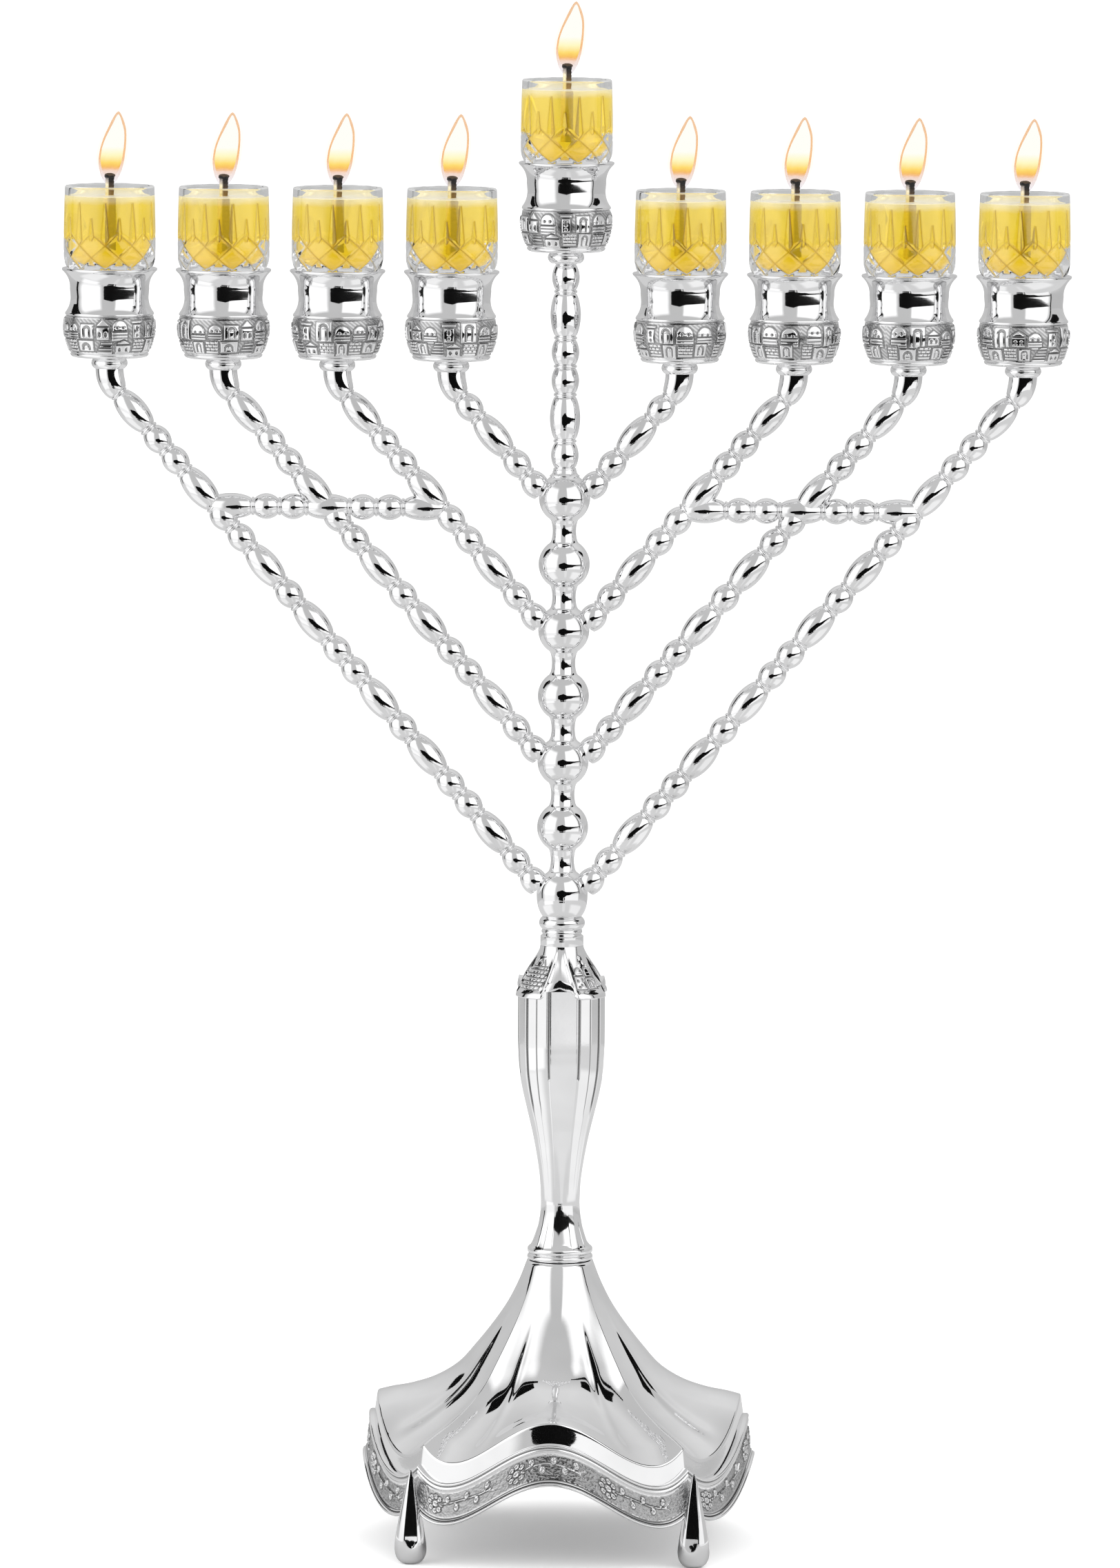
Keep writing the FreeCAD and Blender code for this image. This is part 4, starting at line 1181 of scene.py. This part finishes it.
def flame_mesh(materials):
    """Three nested teardrop shells that lean a little: glow, edge and core."""
    shape = through([(0.0, 1.3), (0.05, 2.2), (0.14, 3.2), (0.28, 3.95), (0.43, 4.1), (0.58, 3.8),
                     (0.72, 3.15), (0.84, 2.25), (0.93, 1.3), (0.98, 0.6), (1.0, 0.04)], 46)
    bend = through([(0, 0), (0.25, 0.35), (0.43, 0.8), (0.6, 1.5), (0.78, 2.3), (1.0, 2.75)], 40)
    lean = np.interp(shape[:, 0], bend[:, 0], bend[:, 1])
    around = 40
    angle = full_turn(around)
    points, faces, slots = [], [], []
    for index, swell in enumerate((0.8, 0.0, -0.62)):
        start = len(points)
        low, high = FLAME_BOTTOM - 0.3 * swell, FLAME_TOP + 0.9 * swell
        if index == 2:
            low, high = FLAME_BOTTOM + 1.3, FLAME_TOP - 0.9
        radius = np.maximum(shape[:, 1] + swell * np.clip(shape[:, 1] / 2.0, 0.1, 1), 0.03)
        height = low + (high - low) * shape[:, 0]
        for size, level, shift in zip(radius, height, lean):
            for turn in angle:
                points.append((size * math.cos(turn) + shift, size * math.sin(turn) * 0.92, level))
        made = ring_faces(len(shape), around, start)
        made.append(list(range(start, start + around))[::-1])
        made.append(list(range(len(points) - around, len(points))))
        if index < 2:
            made = [face[::-1] for face in made]
        faces += made
        slots += [index] * len(made)
    mesh = make_mesh("flame_shells", points, faces, 80, face_slots=slots)
    for material in materials:
        mesh.materials.append(material)
    return mesh


CENTRE_WICK_DROP, ARM_WICK_DROP = 0.5, 1.6        # from a light's own place


def build_lights():
    cup = cup_mesh()
    glass = glass_mesh()
    oil = oil_mesh()
    wick = wick_mesh()
    glow = flame_shell("flame_glow", [(0.0, (0.86, 0.86, 0.95)), (0.3, (1.0, 0.74, 0.52)),
                                      (1.0, (1.0, 0.80, 0.62))],
                       [(0.0, 0.1), (0.35, 0.36), (1.0, 0.24)], 60, 84, far_side=True)
    edge = flame_shell("flame_edge", [(0.0, (0.50, 0.47, 0.60)), (0.2, (0.72, 0.42, 0.30)),
                                      (0.4, (0.90, 0.42, 0.10)), (1.0, (0.80, 0.42, 0.16))],
                       [(0.0, 0.35), (0.2, 0.5), (0.4, 0.8), (1.0, 0.75)], far_side=True)
    core = flame_shell("flame_core", [(0.0, (0.93, 0.91, 0.95)), (0.12, (0.90, 0.62, 0.42)),
                                      (0.22, (0.93, 0.42, 0.07)), (0.32, (1.0, 0.72, 0.17)),
                                      (0.42, (1.0, 0.95, 0.55)), (0.54, (1.0, 1.0, 0.93)),
                                      (1.0, (1.0, 1.0, 0.95))],
                       [(0.0, 0.0), (0.2, 0.1), (0.27, 0.85), (0.34, 1.0), (1.0, 1.0)])
    flame = flame_mesh([glow, edge, core])
    for number, light in enumerate(LIGHTS):
        low, high = box("cup_" + light)
        at = ((low[0] + high[0]) / 2, (low[1] + high[1]) / 2, low[2])
        put("town_cup_" + light, cup, RELIEF, "frame", ["cup_" + light], at, 40.0 * number)
        cut = put("cut_glass_" + light, glass, GLASS, "glass_" + light, ["glass_" + light], at,
                  (17.0 * number) % 36)
        fill = put("oil_fill_" + light, oil, OIL, "glass_" + light, ["oil_" + light], at, 0.0)
        drop = CENTRE_WICK_DROP if light == "shamash" else ARM_WICK_DROP
        burnt = (at[0], at[1], at[2] - drop)
        braid = put("lit_wick_" + light, wick, WICK, "wick_" + light, ["wick_" + light], burnt,
                    0.0)
        fire = put("flame_" + light, flame, glow, "wick_" + light, (), burnt, 0.0)
        for piece in (cut, fill, braid, fire):
            piece.visible_glossy = False


build_arms()
build_braces()
build_stem()
build_column()
build_collars()
build_baluster()
build_capital()
build_bell()
build_skirt()
build_feet()
build_lights()


# ---------------------------------------------------------------- stage

def build_floor():
    material, tree = new_material("pale_floor")
    pale = ramp(tree, noise(tree, on_piece(tree), 3.0, 3.0), [(0.3, 0.96), (0.7, 0.98)])
    mirrored = add(tree, "LightPath").outputs["Is Glossy Ray"]
    colour = blend(tree, mirrored, pale, (0.5, 0.5, 0.5, 1))
    lift = calculate(tree, "MULTIPLY_ADD", mirrored, -0.15, 0.15)
    principled(material, {"Base Color": colour, "Roughness": 0.9, "Specular IOR Level": 0.1,
                          "Emission Color": (1.0, 1.0, 1.0, 1), "Emission Strength": lift})
    half = 40.0
    mesh = bpy.data.meshes.new("floor_sheet")
    mesh.from_pydata([(-half, -half, 0), (half, -half, 0), (half, half, 0), (-half, half, 0)], [],
                     [(0, 1, 2, 3)])
    mesh.materials.append(material)
    floor = bpy.data.objects.new("floor", mesh)
    bpy.context.scene.collection.objects.link(floor)
    floor.location.z = -0.0002


def direction(azimuth, elevation):
    """A unit vector from the object; azimuth 0 is towards the camera and 90 is to its right."""
    a, e = math.radians(azimuth), math.radians(elevation)
    return Vector((math.sin(a) * math.cos(e), -math.cos(a) * math.cos(e), math.sin(e)))


def soft_light(name, azimuth, far, width, low, high, radiance):
    """A tall rectangular light for the floor and the oil; the metal sees a card in its place."""
    light = bpy.data.lights.new(name, "AREA")
    light.shape = "RECTANGLE"
    light.size, light.size_y = width, high - low
    light.energy = radiance * math.pi * width * (high - low)
    lamp = bpy.data.objects.new(name, light)
    bpy.context.scene.collection.objects.link(lamp)
    spot = direction(azimuth, 0) * far
    lamp.location = (spot.x, spot.y, (low + high) / 2)
    lamp.rotation_mode = "QUATERNION"
    lamp.rotation_quaternion = spot.to_track_quat("Z", "Y")
    lamp.visible_camera = False
    lamp.visible_glossy = False


def around_object(far, azimuth, height):
    """A grid of points at given distances, azimuths in degrees and heights, all in metres."""
    turn = np.radians(azimuth)
    return np.stack(np.broadcast_arrays(far * np.sin(turn), -far * np.cos(turn), height), axis=2)


def card(name, grid, glow):
    """A glowing or black sheet that only mirrors see; glow is its brightness at each grid point."""
    rows, columns = glow.shape
    faces = [(row * columns + column, row * columns + column + 1,
              (row + 1) * columns + column + 1, (row + 1) * columns + column)
             for row in range(rows - 1) for column in range(columns - 1)]
    mesh = bpy.data.meshes.new(name)
    mesh.from_pydata([tuple(point) for point in grid.reshape(-1, 3)], [], faces)
    mesh.attributes.new("glow", "FLOAT", "POINT").data.foreach_set("value", glow.ravel())
    mesh.materials.append(CARD)
    sheet = bpy.data.objects.new(name, mesh)
    bpy.context.scene.collection.objects.link(sheet)
    for ray in ("camera", "shadow", "diffuse", "transmission"):
        setattr(sheet, "visible_" + ray, False)


def card_material():
    material, tree = new_material("mirror_card")
    return surfaced(material, add(tree, "Emission", {"Strength": attribute(tree, "glow")}))


def box_card(name, left, right, far, low, high, radiance, soft):
    """A softbox as the metal sees it: part of a cylinder round the object, dim towards its edges.

    soft is the width of the dim edge at the left, right (degrees), bottom and top (metres)."""
    azimuth = np.linspace(left, right, 61)[None, :]
    height = np.linspace(low, high, 41)[:, None]
    grid = around_object(far, azimuth, height)
    mask = smooth(left, left + soft[0], azimuth) * smooth(right, right - soft[1], azimuth)
    if soft[2]:
        mask = mask * smooth(low, low + soft[2], height)
    mask = mask * smooth(high, high - soft[3], height)
    bright = LOW_GLOW + (radiance - LOW_GLOW) * smooth(0.1, 0.24, height)
    card(name, grid, AMBIENT + (bright - AMBIENT) * mask)


def black_card(name, columns, far):
    """A black sheet; columns are (azimuth, low and high elevation) seen from the lens height."""
    columns = np.array(columns, float)
    azimuth = np.arange(columns[0, 0], columns[-1, 0] + 0.01, 0.5)
    low = np.interp(azimuth, columns[:, 0], columns[:, 1])
    high = np.interp(azimuth, columns[:, 0], columns[:, 2])
    middle_point = Vector((0, 0, MID_HEIGHT))
    grid = np.array([[tuple(direction(a, e) * far + middle_point)
                      for a, e in zip(azimuth, elevation)] for elevation in (low, high)])
    card(name, grid, np.full((2, len(azimuth)), BLACK))


def floor_card():
    """The floor as the metal sees it: grey, with light pools beside the object and a dark edge."""
    azimuth = np.arange(-180, 180.1, 1.5)[None, :]
    reach = np.concatenate([np.linspace(0.13, 0.5, 38), np.linspace(0.52, 1.0, 25)])[:, None]
    grid = around_object(reach, azimuth, 0.0006)
    pool = 0.28 * smooth(-112, -96, azimuth) * smooth(-38, -58, azimuth)
    pool = pool + 0.24 * smooth(34, 52, azimuth) * smooth(114, 98, azimuth)
    near = smooth(0.16, 0.22, reach) * smooth(0.62, 0.46, reach)
    far_pool = 0.42 * smooth(-94, -82, azimuth) * smooth(-34, -46, azimuth)
    beyond = smooth(0.52, 0.6, reach) * smooth(0.98, 0.86, reach)
    glow = FLOOR_GREY + pool * near + far_pool * beyond
    front_strip = smooth(0, 6, azimuth) * smooth(20, 14, azimuth)
    glow = glow + 0.1 * front_strip * smooth(0.16, 0.24, reach)
    for left, right in ((-11, 8), (11, 14)):
        edge = smooth(left - 0.8, left + 0.8, azimuth) * smooth(right + 0.8, right - 0.8, azimuth)
        glow = glow * (1 - edge * smooth(0.64, 0.68, reach) * smooth(0.83, 0.8, reach))
    card("floor_mirror_card", grid, glow)


AMBIENT = 0.58
FLOOR_GREY = 0.71
LOW_GLOW = 1.02
MID_HEIGHT = 0.28
BLACK = 0.004
CARD = card_material()


def build_light():
    world = bpy.data.worlds.new("studio")
    bpy.context.scene.world = world
    world.use_nodes = True
    tree = world.node_tree
    tree.nodes.clear()
    output = add(tree, "OutputWorld")
    place = add(tree, "TexCoord").outputs["Generated"]
    raised = span(tree, part_of(tree, place, "Z"), 0.25, 0.8, 0.0, 1.0)
    behind = span(tree, part_of(tree, place, "Y"), 0.05, 0.35, 0.0, 1.0)
    seen = ramp(tree, calculate(tree, "MULTIPLY", raised, behind), [(0.0, AMBIENT), (1.0, 0.74)])
    mirrored = add(tree, "LightPath").outputs["Is Glossy Ray"]
    colour = blend(tree, mirrored, (1.04, 1.04, 1.04, 1), seen)
    back = add(tree, "Background", {"Color": colour, "Strength": 1.0})
    tree.links.new(back.outputs["Background"], output.inputs["Surface"])
    soft_light("softbox_left", -60, 0.85, 1.25, 0.0, 1.05, 1.35)
    soft_light("softbox_right", 45, 0.95, 1.5, 0.0, 1.75, 1.3)
    box_card("left_box_card", -96, -24, 0.86, 0.0, 1.35, 1.3, (18, 14, 0, 0.5))
    box_card("right_box_card", 11, 85, 0.95, 0.25, 1.65, 1.25, (7, 12, 0.04, 0.4))
    box_card("low_box_card", 6, 84, 0.96, 0.0, 0.2, 1.0, (5, 6, 0, 0.012))
    black_card("camera_card", [(-22, -8.8, 3.5), (-17, -12, 7), (-10, -13.2, 9.5), (3, -13.2, 13.5),
                               (11, -13.2, 9.5), (18, -11, 6), (24, -9.3, 5), (38, -8.2, 4),
                               (48, -4.0, 3.0), (62, -2, 2.2), (84, -1, 1.2)], 0.84)
    black_card("left_leg_card", [(-13, -17, -13.1), (8, -18.6, -13.1)], 0.84)
    black_card("right_leg_card", [(11, -18.6, -13.1), (15, -16, -13.1)], 0.84)
    black_card("left_gap_card", [(-104, -14, 50), (-97, -14, 50)], 0.9)
    black_card("right_gap_card", [(84.5, -6, 56), (88, -6, 56)], 0.9)
    black_card("left_fold_card", [(-124, 26, 30), (-118, 14, 44), (-105, 16, 44)], 1.0)
    black_card("right_fold_card", [(92, 22, 44), (108, 20, 44), (118, 26, 32)], 1.0)
    floor_card()


CAMERA_ROLL, FOCAL_LENGTH, SENSOR_WIDTH = 0.35, 240.0, 36.0     # degrees, millimetres


def build_camera():
    camera = bpy.data.objects.new("camera", bpy.data.cameras.new("camera"))
    bpy.context.scene.collection.objects.link(camera)
    eye = Vector((0.144, -3.297, 0.620))
    target = Vector((-0.0009, 0.0, 0.2433))
    camera.location = eye
    camera.rotation_euler = (target - eye).to_track_quat("-Z", "Y").to_euler("XYZ")
    camera.rotation_euler.rotate_axis("Z", math.radians(CAMERA_ROLL))
    camera.data.lens = FOCAL_LENGTH
    camera.data.sensor_width = SENSOR_WIDTH
    camera.data.clip_end = 200.0
    bpy.context.scene.camera = camera


build_floor()
build_light()
build_camera()
view = bpy.context.scene.view_settings
view.view_transform = "Standard"
view.look = "None"
